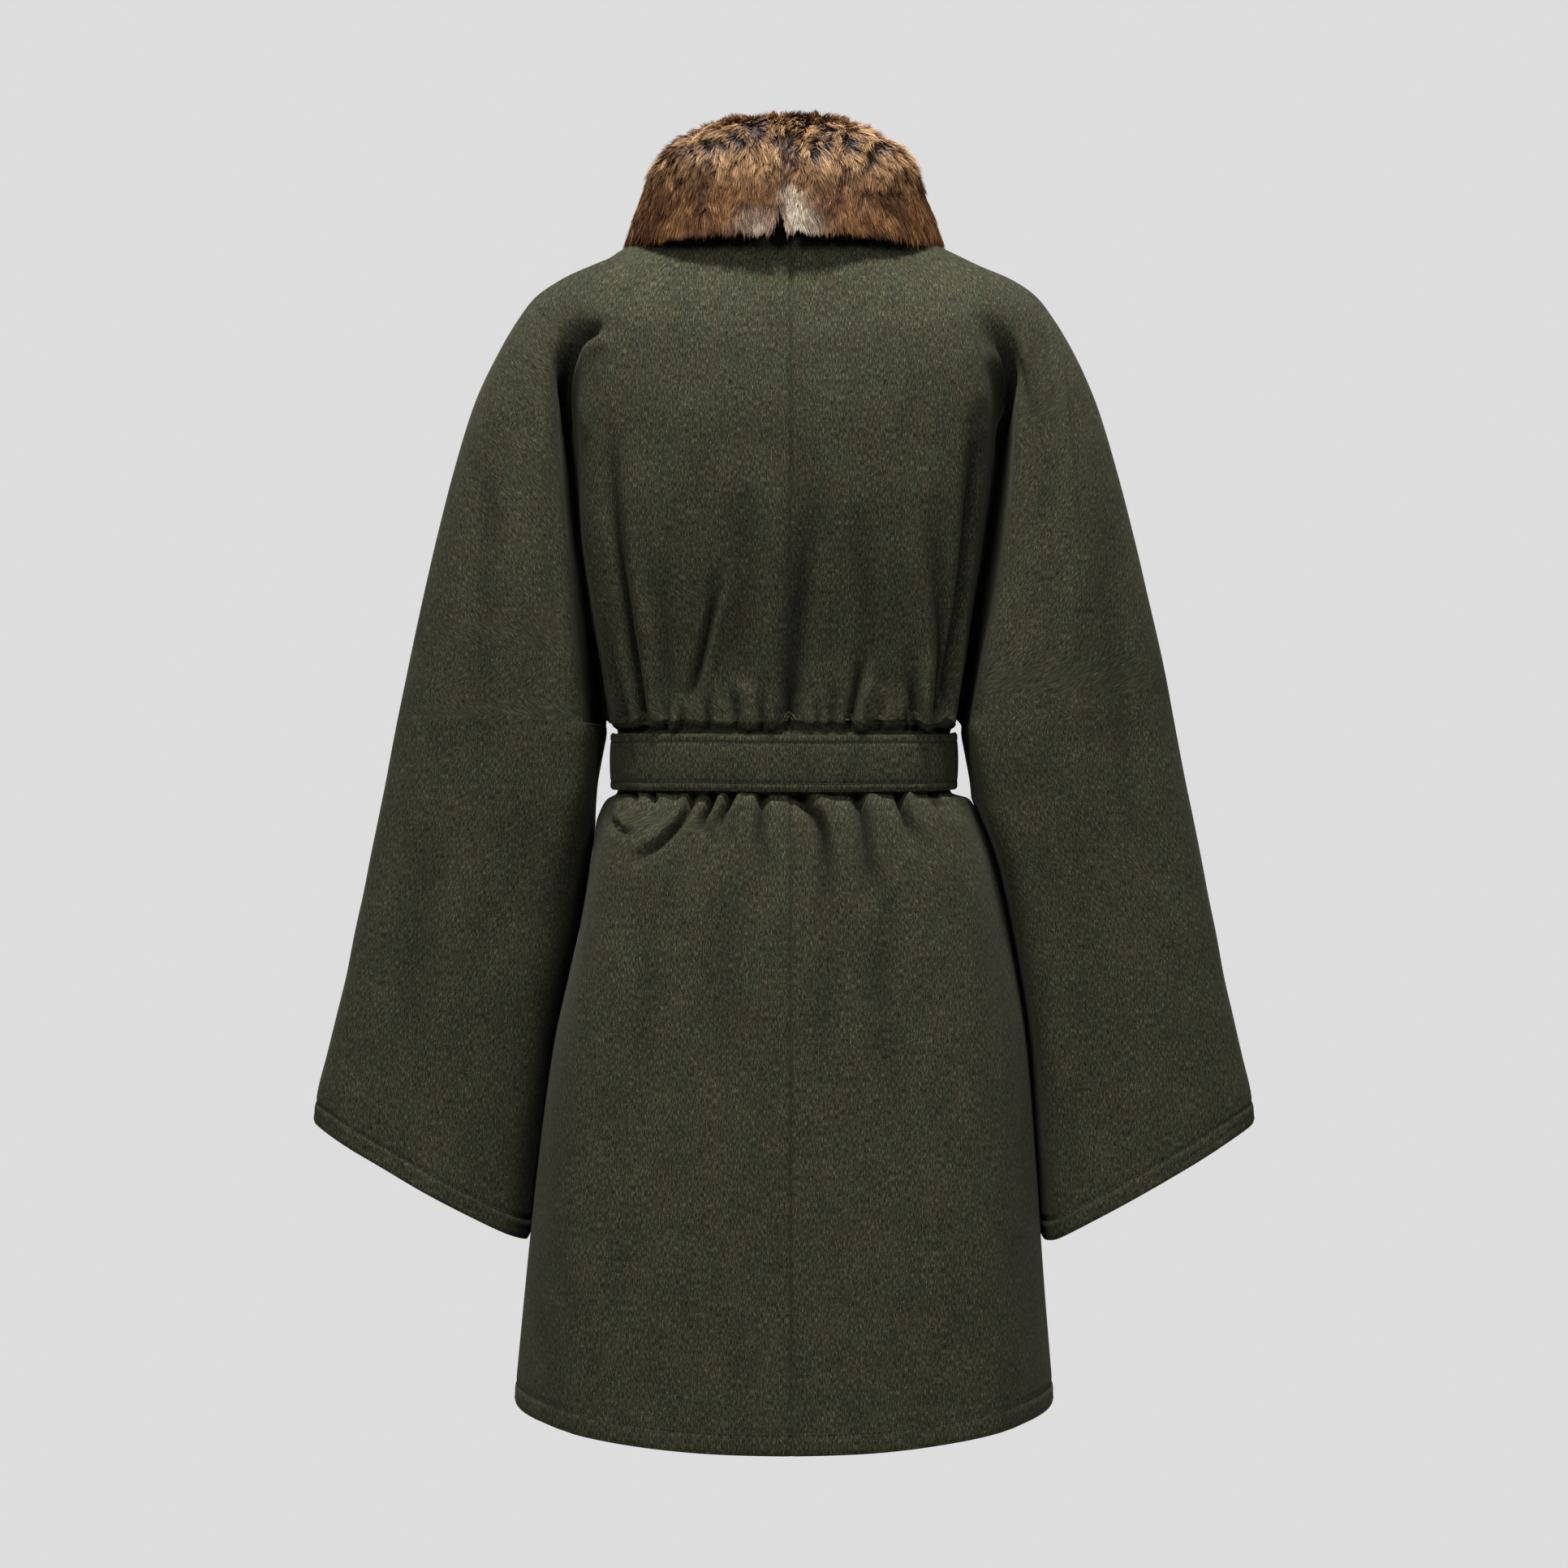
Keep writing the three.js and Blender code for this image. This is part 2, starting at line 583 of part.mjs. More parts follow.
// Middle line of the fur across one station, from the foot over the roll to the fall edge,
// with the direction that points to the fur's face.
function collarCurve(t) {
  const at = (name) => collarAt(name, t);
  const foot = new THREE.Vector3(at("fx"), at("fy"), at("fz"));
  const roll = new THREE.Vector3(at("rx"), at("ry"), at("rz"));
  const edge = new THREE.Vector3(at("ex"), at("ey"), at("ez"));
  const out = new THREE.Vector3(edge.x - foot.x, edge.y - foot.y, 0);
  const reach = out.length();
  out.divideScalar(reach);
  const along = (point) => (point.x - foot.x) * out.x + (point.y - foot.y) * out.y;
  const rollAt = along(roll);
  const path = roundedPath([
    { x: 0, y: foot.z },
    { x: rollAt - 15, y: roll.z - 5, cut: 12, mark: "rise" },
    { x: rollAt + 1, y: roll.z + 2 },
    { x: rollAt + 16, y: roll.z - 7, cut: 12, mark: "fall" },
    { x: reach, y: edge.z },
  ]);
  const line = spread(path, COLLAR_STRIPS);
  const count = line.length - 1;
  return line.map(([u, z], i) => {
    const before = line[Math.max(0, i - 1)];
    const after = line[Math.min(count, i + 1)];
    const length = Math.hypot(after[0] - before[0], after[1] - before[1]);
    const faceU = -(after[1] - before[1]) / length;
    const faceZ = (after[0] - before[0]) / length;
    const middle = new THREE.Vector3(foot.x + out.x * u, foot.y + out.y * u, z);
    const face = new THREE.Vector3(out.x * faceU, out.y * faceU, faceZ);
    return { middle, face };
  });
}

function mirrorX(geometry) {
  geometry.scale(-1, 1, 1);
  const index = geometry.getIndex();
  for (let i = 0; i < index.count; i += 3) {
    const kept = index.getX(i);
    index.setX(i, index.getX(i + 1));
    index.setX(i + 1, kept);
  }
  geometry.computeVertexNormals();
  return geometry;
}

// One station of the collar; stations before the centre back lie on the wearer's left.
function collarStation(t) {
  const curve = collarCurve(Math.abs(t));
  if (t >= 0) return curve;
  return curve.map(({ middle, face }) => ({
    middle: new THREE.Vector3(-middle.x, middle.y, middle.z),
    face: new THREE.Vector3(-face.x, face.y, face.z),
  }));
}

function roundEnd(end, before, reach) {
  const away = end.clone().sub(before).normalize();
  return end.clone().addScaledVector(away, reach);
}

// Thick U of fur over the under-collar, from the split near the centre back to the front.
function makeFurHalf(side) {
  const half = FUR_THICKNESS / 2;
  const stations = side > 0 ? [-COLLAR_SPLIT, 0, ...COLLAR_STATIONS]
    : [COLLAR_SPLIT, ...COLLAR_STATIONS];
  const loops = stations.map((t) => {
    const curve = collarStation(t);
    const last = curve.length - 1;
    const face = curve.map((at) => at.middle.clone().addScaledVector(at.face, half));
    const under = curve.map((at) => at.middle.clone().addScaledVector(at.face, -half));
    const footEnd = roundEnd(curve[0].middle, curve[1].middle, half * 0.6);
    const edgeEnd = roundEnd(curve[last].middle, curve[last - 1].middle, half * 0.6);
    return [...face, edgeEnd, ...under.reverse(), footEnd];
  });
  loops[0].forEach((point) => {
    point.x += FUR_SPLIT_GAP / 2;
  });
  const geometry = loftLoops(loops);
  return side < 0 ? mirrorX(geometry) : geometry;
}

// Under-collar cloth: one strip inside the fur's U, from one front end to the other.
function makeUnderCollar() {
  const offset = FUR_THICKNESS / 2 + COLLAR_GAP;
  const before = [...COLLAR_STATIONS].reverse().map((t) => -t);
  const stations = [...before, -COLLAR_SPLIT, 0, ...COLLAR_STATIONS];
  const rows = stations.map((t) => collarStation(t).map(({ middle, face }) => {
    return middle.clone().addScaledVector(face, -offset);
  }));
  const wide = rows[0].length;
  const triangles = [];
  for (let s = 0; s < rows.length - 1; s += 1) {
    for (let c = 0; c < wide - 1; c += 1) {
      const [a, b] = [s * wide + c, s * wide + c + 1];
      triangles.push([a, b, b + wide], [a, b + wide, a + wide]);
    }
  }
  return thicken({ points: rows.flat(), triangles }, COLLAR_WALL);
}

// ---- assembly ------------------------------------------------------------------------------
function addMesh(group, name, geometry, look) {
  const mesh = new THREE.Mesh(geometry, new THREE.MeshStandardMaterial(look));
  mesh.name = name;
  group.add(mesh);
}

const cape = new THREE.Group();
cape.name = "loden_cape";
addMesh(cape, "back_left", makePanel({ side: -1, front: false }), LODEN);
addMesh(cape, "back_right", makePanel({ side: 1, front: false }), LODEN);
addMesh(cape, "front_left", makePanel({ side: -1, front: true }), LODEN);
addMesh(cape, "front_right", makePanel({ side: 1, front: true }), LODEN);
addMesh(cape, "under_collar", makeUnderCollar(), LODEN);
addMesh(cape, "fur_collar_left", makeFurHalf(-1), FUR);
addMesh(cape, "fur_collar_right", makeFurHalf(1), FUR);
addMesh(cape, "belt", makeBelt(), LODEN);

export default cape;
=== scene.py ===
"""Looks of the loden cape: cloth panels with soft folds, stitched belt, fur collar, studio."""

import math
from types import SimpleNamespace

import bmesh
import bpy
import numpy as np
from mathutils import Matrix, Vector, kdtree, noise


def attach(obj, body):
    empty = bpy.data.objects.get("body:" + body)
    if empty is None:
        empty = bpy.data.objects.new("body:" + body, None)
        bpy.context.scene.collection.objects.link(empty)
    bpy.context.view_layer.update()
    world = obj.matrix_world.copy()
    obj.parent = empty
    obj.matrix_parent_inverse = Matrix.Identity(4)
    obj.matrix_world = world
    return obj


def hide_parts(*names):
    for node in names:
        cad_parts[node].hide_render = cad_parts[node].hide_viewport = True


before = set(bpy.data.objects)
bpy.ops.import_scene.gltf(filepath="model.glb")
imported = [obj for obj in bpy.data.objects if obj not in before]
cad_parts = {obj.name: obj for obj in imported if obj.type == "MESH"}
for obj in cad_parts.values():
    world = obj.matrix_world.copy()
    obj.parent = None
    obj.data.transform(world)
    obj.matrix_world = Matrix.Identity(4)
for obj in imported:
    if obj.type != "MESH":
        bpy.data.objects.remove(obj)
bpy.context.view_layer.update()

MM = 0.001
RNG = np.random.default_rng(1932)

# ---- sizes in millimetres, as in the CAD source ----
WALL = 2.5
# side and overarm seams are drawn shut, so that no light shows through: 0.3 in the CAD source
SEAM_GAP = 0.01
BACK_SEAM_X = 5.0
LAP_REACH, LAP_REACH_SHARE, LAP_LIFT = 45.0, 0.42, 3.8
ARM_PITCH = 22.0
BELT_THICKNESS, BELT_HEIGHT, BELT_CLEARANCE = 4.0, 41.0, 1.2
BELT_LEVEL, BELT_SAG = -382.5, 2.5
BELT_STITCH_ROW = 14.5
# the belted strip, between the gathers above and below
STRIP_TOP, STRIP_FOOT = -362, -404
BELT_OVER_END_X, BELT_UNDER_END_X = -58.0, 44.0
FUR_THICKNESS = 15.0
COLLAR_WALL, COLLAR_GAP = 2.0, 1.1
# rounds a corner as far as its sides allow
FULL_CUT = 1e6
CROTCH_ROW = 13
HEM_DEPTH = 15.0
FOLD_DEPTH = 1.8
# strength of the shade painted into the cloth colour in creases, hollows and just above the belt
PAINTED_SHADE_STRENGTH = 0.66

CAMERA_DISTANCE = 3200.0
CAMERA_HEIGHT = -400.0
FRAME_WIDTH = 1159.2

# Section tables of the CAD source. zc, zo: height at centre and overarm; xo: overarm half
# width; yc: depth at the centre; xb, yb: side fold; xv, yv, vw, vt: valley, its width and tilt;
# xs, ys: sleeve's inner fold; xa, ya: sleeve back; yk: depth of the overarm rounding;
# db, ds, do: half of how far the right side stands off the left.
UPPER_COLUMNS = ("zc", "zo", "xo", "yc", "xb", "yb", "xv", "yv", "vw", "vt",
                 "xs", "ys", "xa", "ya", "yk", "db", "ds", "do")
UPPER = [
    (4, 16, 70, -61, 33, -56, 45, -47, 8, 6, 55, -36, 64, -24, -11, 0, 0, 0),
    (-16, 4, 95, -77, 46, -72, 61, -61, 9, 6.5, 74, -48, 85, -34, -16, 0, 0, 0),
    (-36, -6, 118, -88, 60, -83, 80, -70, 9, 7, 95, -56, 108, -40, -20, 0, 0, 0),
    (-52, -18, 138.4, -97, 78, -92, 102, -77, 9, 7, 120, -62, 134, -44, -24, 0, 0, 3.2),
    (-66, -30, 165.3, -103, 98, -99, 124, -82, 8, 7, 144, -66, 160, -48, -28, 0, 0, 3),
    (-80, -42, 183.5, -108, 116, -104, 140, -82, 8, 6, 159, -67, 176, -50, -30, 0, 0, 1.8),
    (-98, -60, 197.2, -112, 130, -106, 151, -74, 7, 4, 168, -70, 188, -56, -34, 0, 1, 1.6),
    (-118, -84, 211, -115, 139, -107, 157, -60, 7, 3, 170, -74, 198, -62, -40, 0, 1, 1.6),
    (-144, -120, 227.4, -117, 144, -106, 158, -42, 6, 2, 168, -75, 206, -72, -46, 0, 2, 1.1),
    (-184, -168, 242.2, -116, 144, -104, 154, -27, 6, 0, 165, -74, 208, -82, -52, -1, 2, 1),
    (-226, -216, 254.6, -112, 141, -100, 150, -18, 6, 0, 160, -73, 210, -88, -56, -4, 2, 1.1),
    (-270, -264, 265.8, -106, 134.5, -95, 143.5, -12, 6, 0, 154, -72, 212, -92, -60, -3, 0, 1.2),
    (-314, -312, 276.5, -101, 127.5, -90, 137, -8, 6, 0, 147, -71, 214, -94, -62, 1, -3.5, 1.6),
    (-355, -355, 285.2, -98.6, 122.5, -85.5, 129.6, -3, 5, 0, 142.5, -70, 216, -95, -63,
     2, -5.5, 1.2),
]
UPPER_STEPS = (4, 4, 4, 4, 4, 5, 5, 7, 8, 8, 8, 10, 10)

# zs, xs: height and half width at the side seam; dx: as db.
SKIRT_COLUMNS = ("zc", "zs", "xs", "yc", "xb", "yb", "yk", "dx")
SKIRT = [
    (-355, -355, 127.1, -98.6, 120, -85, -38, 0),
    (-358.5, -358.3, 125.2, -96.5, 112, -83, -34, 0),
    (-362, -361, 122.3, -92.5, 108, -79, -34, 0),
    (-408, -405, 122.3, -92.5, 108, -79, -34, 0),
    (-415, -411, 133, -99.5, 114, -85, -36, 3),
    (-428, -424, 140, -105.5, 121, -90, -38, 3.2),
    (-458, -454, 147.8, -113, 129, -96, -41, 6.5),
    (-512, -506, 157.8, -120, 138, -102, -45, 7.8),
    (-600, -592, 174, -128, 148, -110, -53, 5),
    (-690, -680, 183, -136, 153, -118, -60, 2.3),
    (-780, -768, 190.5, -143, 157, -125, -66, 0.6),
    (-874, -852, 198, -150, 161, -131, -70, 0),
]
SKIRT_STEPS = (3, 3, 6, 5, 5, 10, 11, 12, 12, 11, 34)

# zi, xi: height and place of the inner seam; cut: rounding of the inner fold.
SLEEVE_COLUMNS = ("zi", "zo", "xi", "xo", "xs", "ys", "xa", "ya", "yk", "cut", "ds", "do")
SLEEVE = [
    (-355, -355, 132.1, 285.2, 142.5, -70, 216, -95, -63, 9, -5.5, 1.2),
    (-362, -372, 131.6, 288.5, 142, -70, 217, -95, -63, 9, -5, 1.2),
    (-380, -397, 134.8, 293.3, 143, -69, 219, -96, -64, 10, -4, 1.3),
    (-404, -424, 138.7, 298.9, 146, -68, 222, -97, -65, 11, -2, 1.4),
    (-430, -452, 140, 304.7, 152.5, -68, 226, -98, -66, 13, -4, 1.3),
    (-462, -480, 140, 310.1, 163.7, -69, 231, -99, -68, 16, -2.7, 1.2),
    (-498, -510, 150, 316.5, 173, -72, 238, -100, -70, 20, -3, 1),
    (-540, -540, 150, 322.2, 181, -76, 244, -101, -72, 25, -3, 0.8),
    (-585, -570, 160, 329.3, 189.5, -79, 251, -102, -74, 30, -3.5, 0.6),
    (-635, -600, 160, 336.5, 196.5, -82, 257, -103, -75, 34, -4.5, 0.3),
    (-685, -624, 170, 342.5, 201.5, -84, 263, -104, -76, 37, -5.5, 0.1),
    (-735, -647, 170, 345.9, 205.5, -86, 267, -105, -77, 40, -5.5, 0),
]
SLEEVE_STEPS = (4, 5, 6, 6, 6, 6, 7, 7, 7, 7, 26)
SLEEVE_CLEARANCE = 1.6

# The centre front: height and depth at each row of the upper part and the skirt.
FRONT_LINE = [
    (-62, 75), (-75, 84), (-88, 91), (-100, 97), (-112, 102), (-124, 107), (-138, 112),
    (-154, 117), (-176, 122), (-206, 125), (-240, 123), (-278, 117), (-318, 110),
    (-355, 105.5), (-358.5, 104), (-362, 100), (-408, 100), (-415, 106), (-428, 110),
    (-458, 114), (-512, 119), (-600, 127), (-690, 135), (-780, 142), (-868, 150),
]

# Collar from the centre back to the front end: x, y, z of its foot, roll and outer edge.
COLLAR = [
    (0, -50, 5.5, 0, -67, 76, 0, -92, 3),
    (26, -45.5, 8, 34, -61, 76, 46, -86, 2),
    (47, -29.5, 14.5, 62, -38, 69, 84, -60, 1),
    (59, 0, 20.5, 79, -4, 59, 108, -12, 9),
    (54.5, 26, 9.5, 78, 32, 39, 108, 30, 4),
    (42, 46, -13.5, 62, 63, 10, 92, 78.5, -37),
    (21, 60, -42, 34, 84, -16, 58, 107, -76),
    (3, 63, -56, 6, 92, -27, 12, 118, -94),
]

# Folds of the back as seen from behind: half width, depth (a ridge where negative), how long
# the head and the tail fade, side and height of the ridge beside it, and its path: x, z, x, z.
BACK_FOLDS = [
    # armpit folds
    (5, 5, 0.25, 0.2, 1, 0.55, [-130, -59, -146, -67, -157, -84, -162, -108, -161, -144]),
    (5, 4.5, 0.3, 0.2, -1, 0.5, [161, -71, 167, -94, 167, -114, 166, -126, 160, -140, 155, -157]),
    (3.6, -2.2, 0.15, 0.7, -1, 0.8, [174, -65, 177, -78, 184, -109, 188, -132, 194, -240]),
    (3.6, -1.4, 0.15, 0.7, -1, 0.8, [192, -55, 201, -74, 206, -94, 211, -156, 216, -260]),
    (9, 6, 0.35, 0.1, -1, 0.15, [147, -112, 143, -160, 140, -210, 136, -262, 130, -320, 128, -352]),
    # above the belt
    (5, 7, 0.7, 0.02, 1, 0.3, [-128, -111, -128, -171, -124, -216, -116, -267, -109, -327, -104,
     -362]),
    (7.5, 8.5, 0.4, 0.02, 1, 0.25, [-141, -282, -134, -312, -126, -344, -122, -362]),
    (6, 2.2, 0.6, 0.3, 1, 0.3, [-88, -222, -89, -312, -88, -352]),
    (4.2, 5.5, 0.4, 0.3, 1, 0.3, [-48, -240, -54, -276, -63, -315, -72, -344]),
    (11, 4.6, 0.75, 0.02, -1, 0.35, [24, -160, 20, -207, 12, -252, 8, -306, 3, -362]),
    (3.6, 3.4, 0.7, 0.02, -1, 0.5, [3.5, -318, 2.5, -362]),
    (4.4, 5.2, 0.6, 0.02, 1, 0.5, [60, -296, 56, -321, 53, -340, 48, -362]),
    (5, 4.6, 0.7, 0.02, 1, 0.5, [94, -300, 97, -340, 98, -362]),
    (2.6, 2.4, 0.6, 0.02, 1, 0.5, [92, -346, 91, -362]),
    (7.5, 6, 0.7, 0.02, -1, 0.35, [110, -186, 115, -246, 119, -306, 117, -362]),
    (3.6, 2.8, 0.7, 0.02, 1, 0.5, [-88, -336, -87, -362]),
    (3, 2.4, 0.7, 0.02, -1, 0.5, [-76, -340, -77, -362]),
    (3, 2.2, 0.7, 0.02, -1, 0.5, [-57, -334, -56, -362]),
    (4.4, 3, 0.7, 0.02, 1, 0.5, [-38, -322, -34, -362]),
    (3.8, 3.2, 0.8, 0.02, 1, 0.5, [-17, -326, -16, -362]),
    (3.6, 2.2, 0.8, 0.02, -1, 0.4, [24, -336, 25, -362]),
    (4.2, 2.4, 0.8, 0.02, -1, 0.4, [37, -322, 35, -362]),
    (3.4, 2.2, 0.8, 0.02, 1, 0.4, [74, -336, 71, -362]),
    (14, 1.8, 0.5, 0.1, 1, 0.3, [-30, -180, -33, -330]),
    (13, 1.8, 0.5, 0.1, 1, 0.3, [56, -190, 64, -330]),
    # below the belt
    (2.6, 2.2, 0.1, 0.5, 1, 0.5, [-126, -411, -130, -423, -120, -435, -108, -438]),
    (2.8, 3, 0.02, 0.6, 1, 0.6, [-112, -404, -108, -414]),
    (2.8, 3, 0.02, 0.6, 1, 0.6, [-98, -404, -94, -416]),
    (3.1, 3.6, 0.02, 0.5, -1, 0.55, [-66, -404, -73, -424, -84, -437, -98, -449, -116, -459]),
    (3.6, 5.6, 0.02, 0.5, 1, 0.5, [-50, -404, -60, -426, -60, -440]),
    (3.2, 4.8, 0.02, 0.6, 1, 0.6, [-35, -404, -43, -418, -48, -438]),
    (5, 4.2, 0.02, 0.7, -1, 0.5, [-16, -404, -18, -440, -13, -480]),
    (6, 4.6, 0.02, 0.7, 1, 0.55, [8, -404, 23, -420, 30, -440, 31, -470, 32, -520]),
    (5.6, 5.4, 0.02, 0.6, 1, 0.4, [53, -404, 59, -424, 63, -464, 66, -500]),
    (3.8, 5.4, 0.02, 0.6, 1, 0.55, [84, -404, 90, -424, 97, -448]),
    (3.6, 3.4, 0.02, 0.7, 1, 0.5, [110, -404, 118, -422]),
    (16, 1.8, 0.4, 0.6, 1, 0.4, [-40, -470, -52, -640]),
    (13, 1.6, 0.4, 0.6, 1, 0.3, [30, -500, 28, -640]),
    (17, 1.8, 0.4, 0.6, 1, 0.4, [66, -450, 80, -680]),
    (14, 1.4, 0.4, 0.6, 1, 0.4, [-96, -470, -112, -660]),
    # sleeves
    (10, -2, 0.3, 0.5, 1, 0.3, [-180, -80, -182, -200, -186, -360]),
    (13, 1.7, 0.3, 0.5, 1, 0.5, [-214, -120, -232, -420]),
    (10, -2, 0.3, 0.5, 1, 0.3, [206, -200, 224, -460, 248, -640]),
    (14, 1.7, 0.3, 0.5, 1, 0.5, [236, -180, 262, -500]),
    (15, 1.7, 0.4, 0.5, 1, 0.4, [-262, -420, -288, -640]),
]

# Gathers of the hidden front, plain and like those of the back.
FRONT_FOLDS = [
    (4.5, depth, 0.02, 0.75, 1, 0.5, [x, STRIP_FOOT, x * 1.1 + lean, STRIP_FOOT - reach])
    for x, lean, reach, depth in ((-96, -4, 40, 3), (-70, 2, 60, 3), (62, 3, 50, 3),
                                  (84, -2, 44, 3), (104, 3, 36, 2.4))
] + [
    (4.5, depth, 0.75, 0.02, -1, 0.5, [x, STRIP_TOP + reach, x * 0.98, STRIP_TOP])
    for x, reach, depth in ((-100, 60, 3), (-78, 40, 2.4), (68, 50, 3), (88, 70, 3), (108, 36, 2))
] + [
    (10, 1.8, 0.4, 0.4, 1, 0.4, [side * 92, -120, side * 112, -300]) for side in (-1, 1)
]


# ---- interpolation and paths ----
def smooth_step(low, high, value):
    t = np.clip((value - low) / (high - low), 0, 1)
    return t * t * (3 - 2 * t)


def unit(vectors):
    return vectors / np.maximum(np.linalg.norm(vectors, axis=1, keepdims=True), 1e-9)


def bell(value, width):
    return np.exp(-(value / width) ** 2)


def monotone(values, at):
    """Smooth curve through values at whole positions, with no overshoot."""
    values = np.asarray(values, float)
    steps = np.diff(values)
    slope = np.zeros(len(values))
    a, b = steps[:-1], steps[1:]
    same = a * b > 0
    slope[1:-1] = np.where(same, 2 * a * b / np.where(same, a + b, 1), 0)
    slope[0], slope[-1] = steps[0], steps[-1]
    i = np.clip(np.floor(at).astype(int), 0, len(values) - 2)
    u = at - i
    return (values[i] * (1 + 2 * u) * (1 - u) ** 2 + slope[i] * u * (1 - u) ** 2
            + values[i + 1] * u * u * (3 - 2 * u) + slope[i + 1] * u * u * (u - 1))


def positions(steps, share):
    """Row positions in a table: whole rows and evenly spaced ones between them."""
    out = [np.linspace(k, k + 1, max(2, int(round(n * share))), endpoint=False)
           for k, n in enumerate(steps)]
    return np.append(np.concatenate(out), len(steps))


def read_rows(columns, rows, at):
    table = np.array(rows, float)
    return {name: monotone(table[:, c], at) for c, name in enumerate(columns)}


def read_corner(x, y, cut=FULL_CUT, mark=""):
    return np.array((x, y), float), cut, mark


def rounded_path(corners):
    """Points of a polygon with rounded corners: x, y, and how far to cut and a mark."""
    corners = [read_corner(*values) for values in corners]
    points = [corners[0][0][None]]
    marks, count = {}, 1
    t = np.linspace(0, 1, 13)[:, None]
    for before, (corner, cut, mark), after in zip(corners, corners[1:], corners[2:]):
        before, after = before[0], after[0]
        a = min(0.5, cut / max(1e-6, np.linalg.norm(before - corner)))
        b = min(0.5, cut / max(1e-6, np.linalg.norm(after - corner)))
        start, end = corner + (before - corner) * a, corner + (after - corner) * b
        points.append((1 - t) ** 2 * start + 2 * t * (1 - t) * corner + t * t * end)
        if mark:
            marks[mark.strip("+")] = count + (12 if mark.endswith("+") else 6)
        count += 13
    points.append(corners[-1][0][None])
    return np.concatenate(points), marks


def resample(points, count):
    lengths = np.append(0, np.cumsum(np.linalg.norm(np.diff(points, axis=0), axis=1)))
    wanted = np.linspace(0, lengths[-1], count + 1)
    return np.stack([np.interp(wanted, lengths, points[:, k]) for k in range(points.shape[1])], 1)


def start_at(points, start):
    """Starts a path short of the centre line (start > 0) or past it (start < 0)."""
    edge = np.interp(abs(start), points[:, 0], points[:, 1])
    first = np.array([[start, edge]])
    if start > 0:
        return np.concatenate([first, points[points[:, 0] > start + 0.01]])
    past = points[(points[:, 0] > 0.01) & (points[:, 0] < -start - 0.01)][::-1] * (-1, 1)
    return np.concatenate([first, past, points])


def spread(path, marks, strips, start=None):
    cuts = [0] + [marks[name] for name in list(strips)[:-1]] + [len(path) - 1]
    out = []
    for i, count in enumerate(strips.values()):
        part = path[cuts[i]:cuts[i + 1] + 1]
        if i == 0 and start is not None:
            rising = np.append(True, np.diff(part[:, 0]) > 1e-9)
            part = start_at(part[rising], start)
        spaced = resample(part, count)
        out.append(spaced if i == 0 else spaced[1:])
    return np.concatenate(out)


# ---- sections ----
def front_line(at):
    line = np.array(FRONT_LINE, float)
    return monotone(line[:, 0], at), monotone(line[:, 1], at)


def upper_section(r, ratio, side):
    xb, xs = r.xb + side * r.db, r.xs + side * r.ds
    xv = r.xv + side * (r.db + r.ds) / 2
    xo = r.xo + side * r.do
    return rounded_path([
        (0, r.yc * ratio),
        (xb * 0.55, (r.yc - 1) * ratio),
        (xb, r.yb * ratio, 22, "body"),
        (xv - r.vw / 2, r.yv - r.vt / 2, FULL_CUT, "valley+"),
        (xv + r.vw / 2, r.yv + r.vt / 2),
        (xs, r.ys, 12, "sleeve"),
        (r.xa, r.ya),
        (xo, r.yk),
        (xo, 0),
    ])


def skirt_section(r, ratio, side):
    xs = r.xs + side * r.dx
    return rounded_path([
        (0, r.yc * ratio),
        (r.xb * 0.55, (r.yc - 1) * ratio),
        (r.xb, r.yb * ratio, FULL_CUT, "body"),
        (xs, r.yk),
        (xs, 0),
    ])


def skirt_half_width(z, side):
    """Half width of the skirt at its side seam, at given heights."""
    at = np.linspace(0, len(SKIRT) - 1, 400)
    rows = read_rows(SKIRT_COLUMNS, SKIRT, at)
    return np.interp(-np.asarray(z), -rows["zs"], rows["xs"] + side * rows["dx"])


def sleeve_section(r, side):
    xs, xo = r.xs + side * r.ds, r.xo + side * r.do
    return rounded_path([
        (r.xi, 0),
        (r.xi, r.ys * 0.45),
        (xs, r.ys, r.cut, "sleeve"),
        (r.xa, r.ya),
        (xo, r.yk),
        (xo, 0),
    ])


def row_of(table, i):
    return SimpleNamespace(**{name: values[i] for name, values in table.items()})


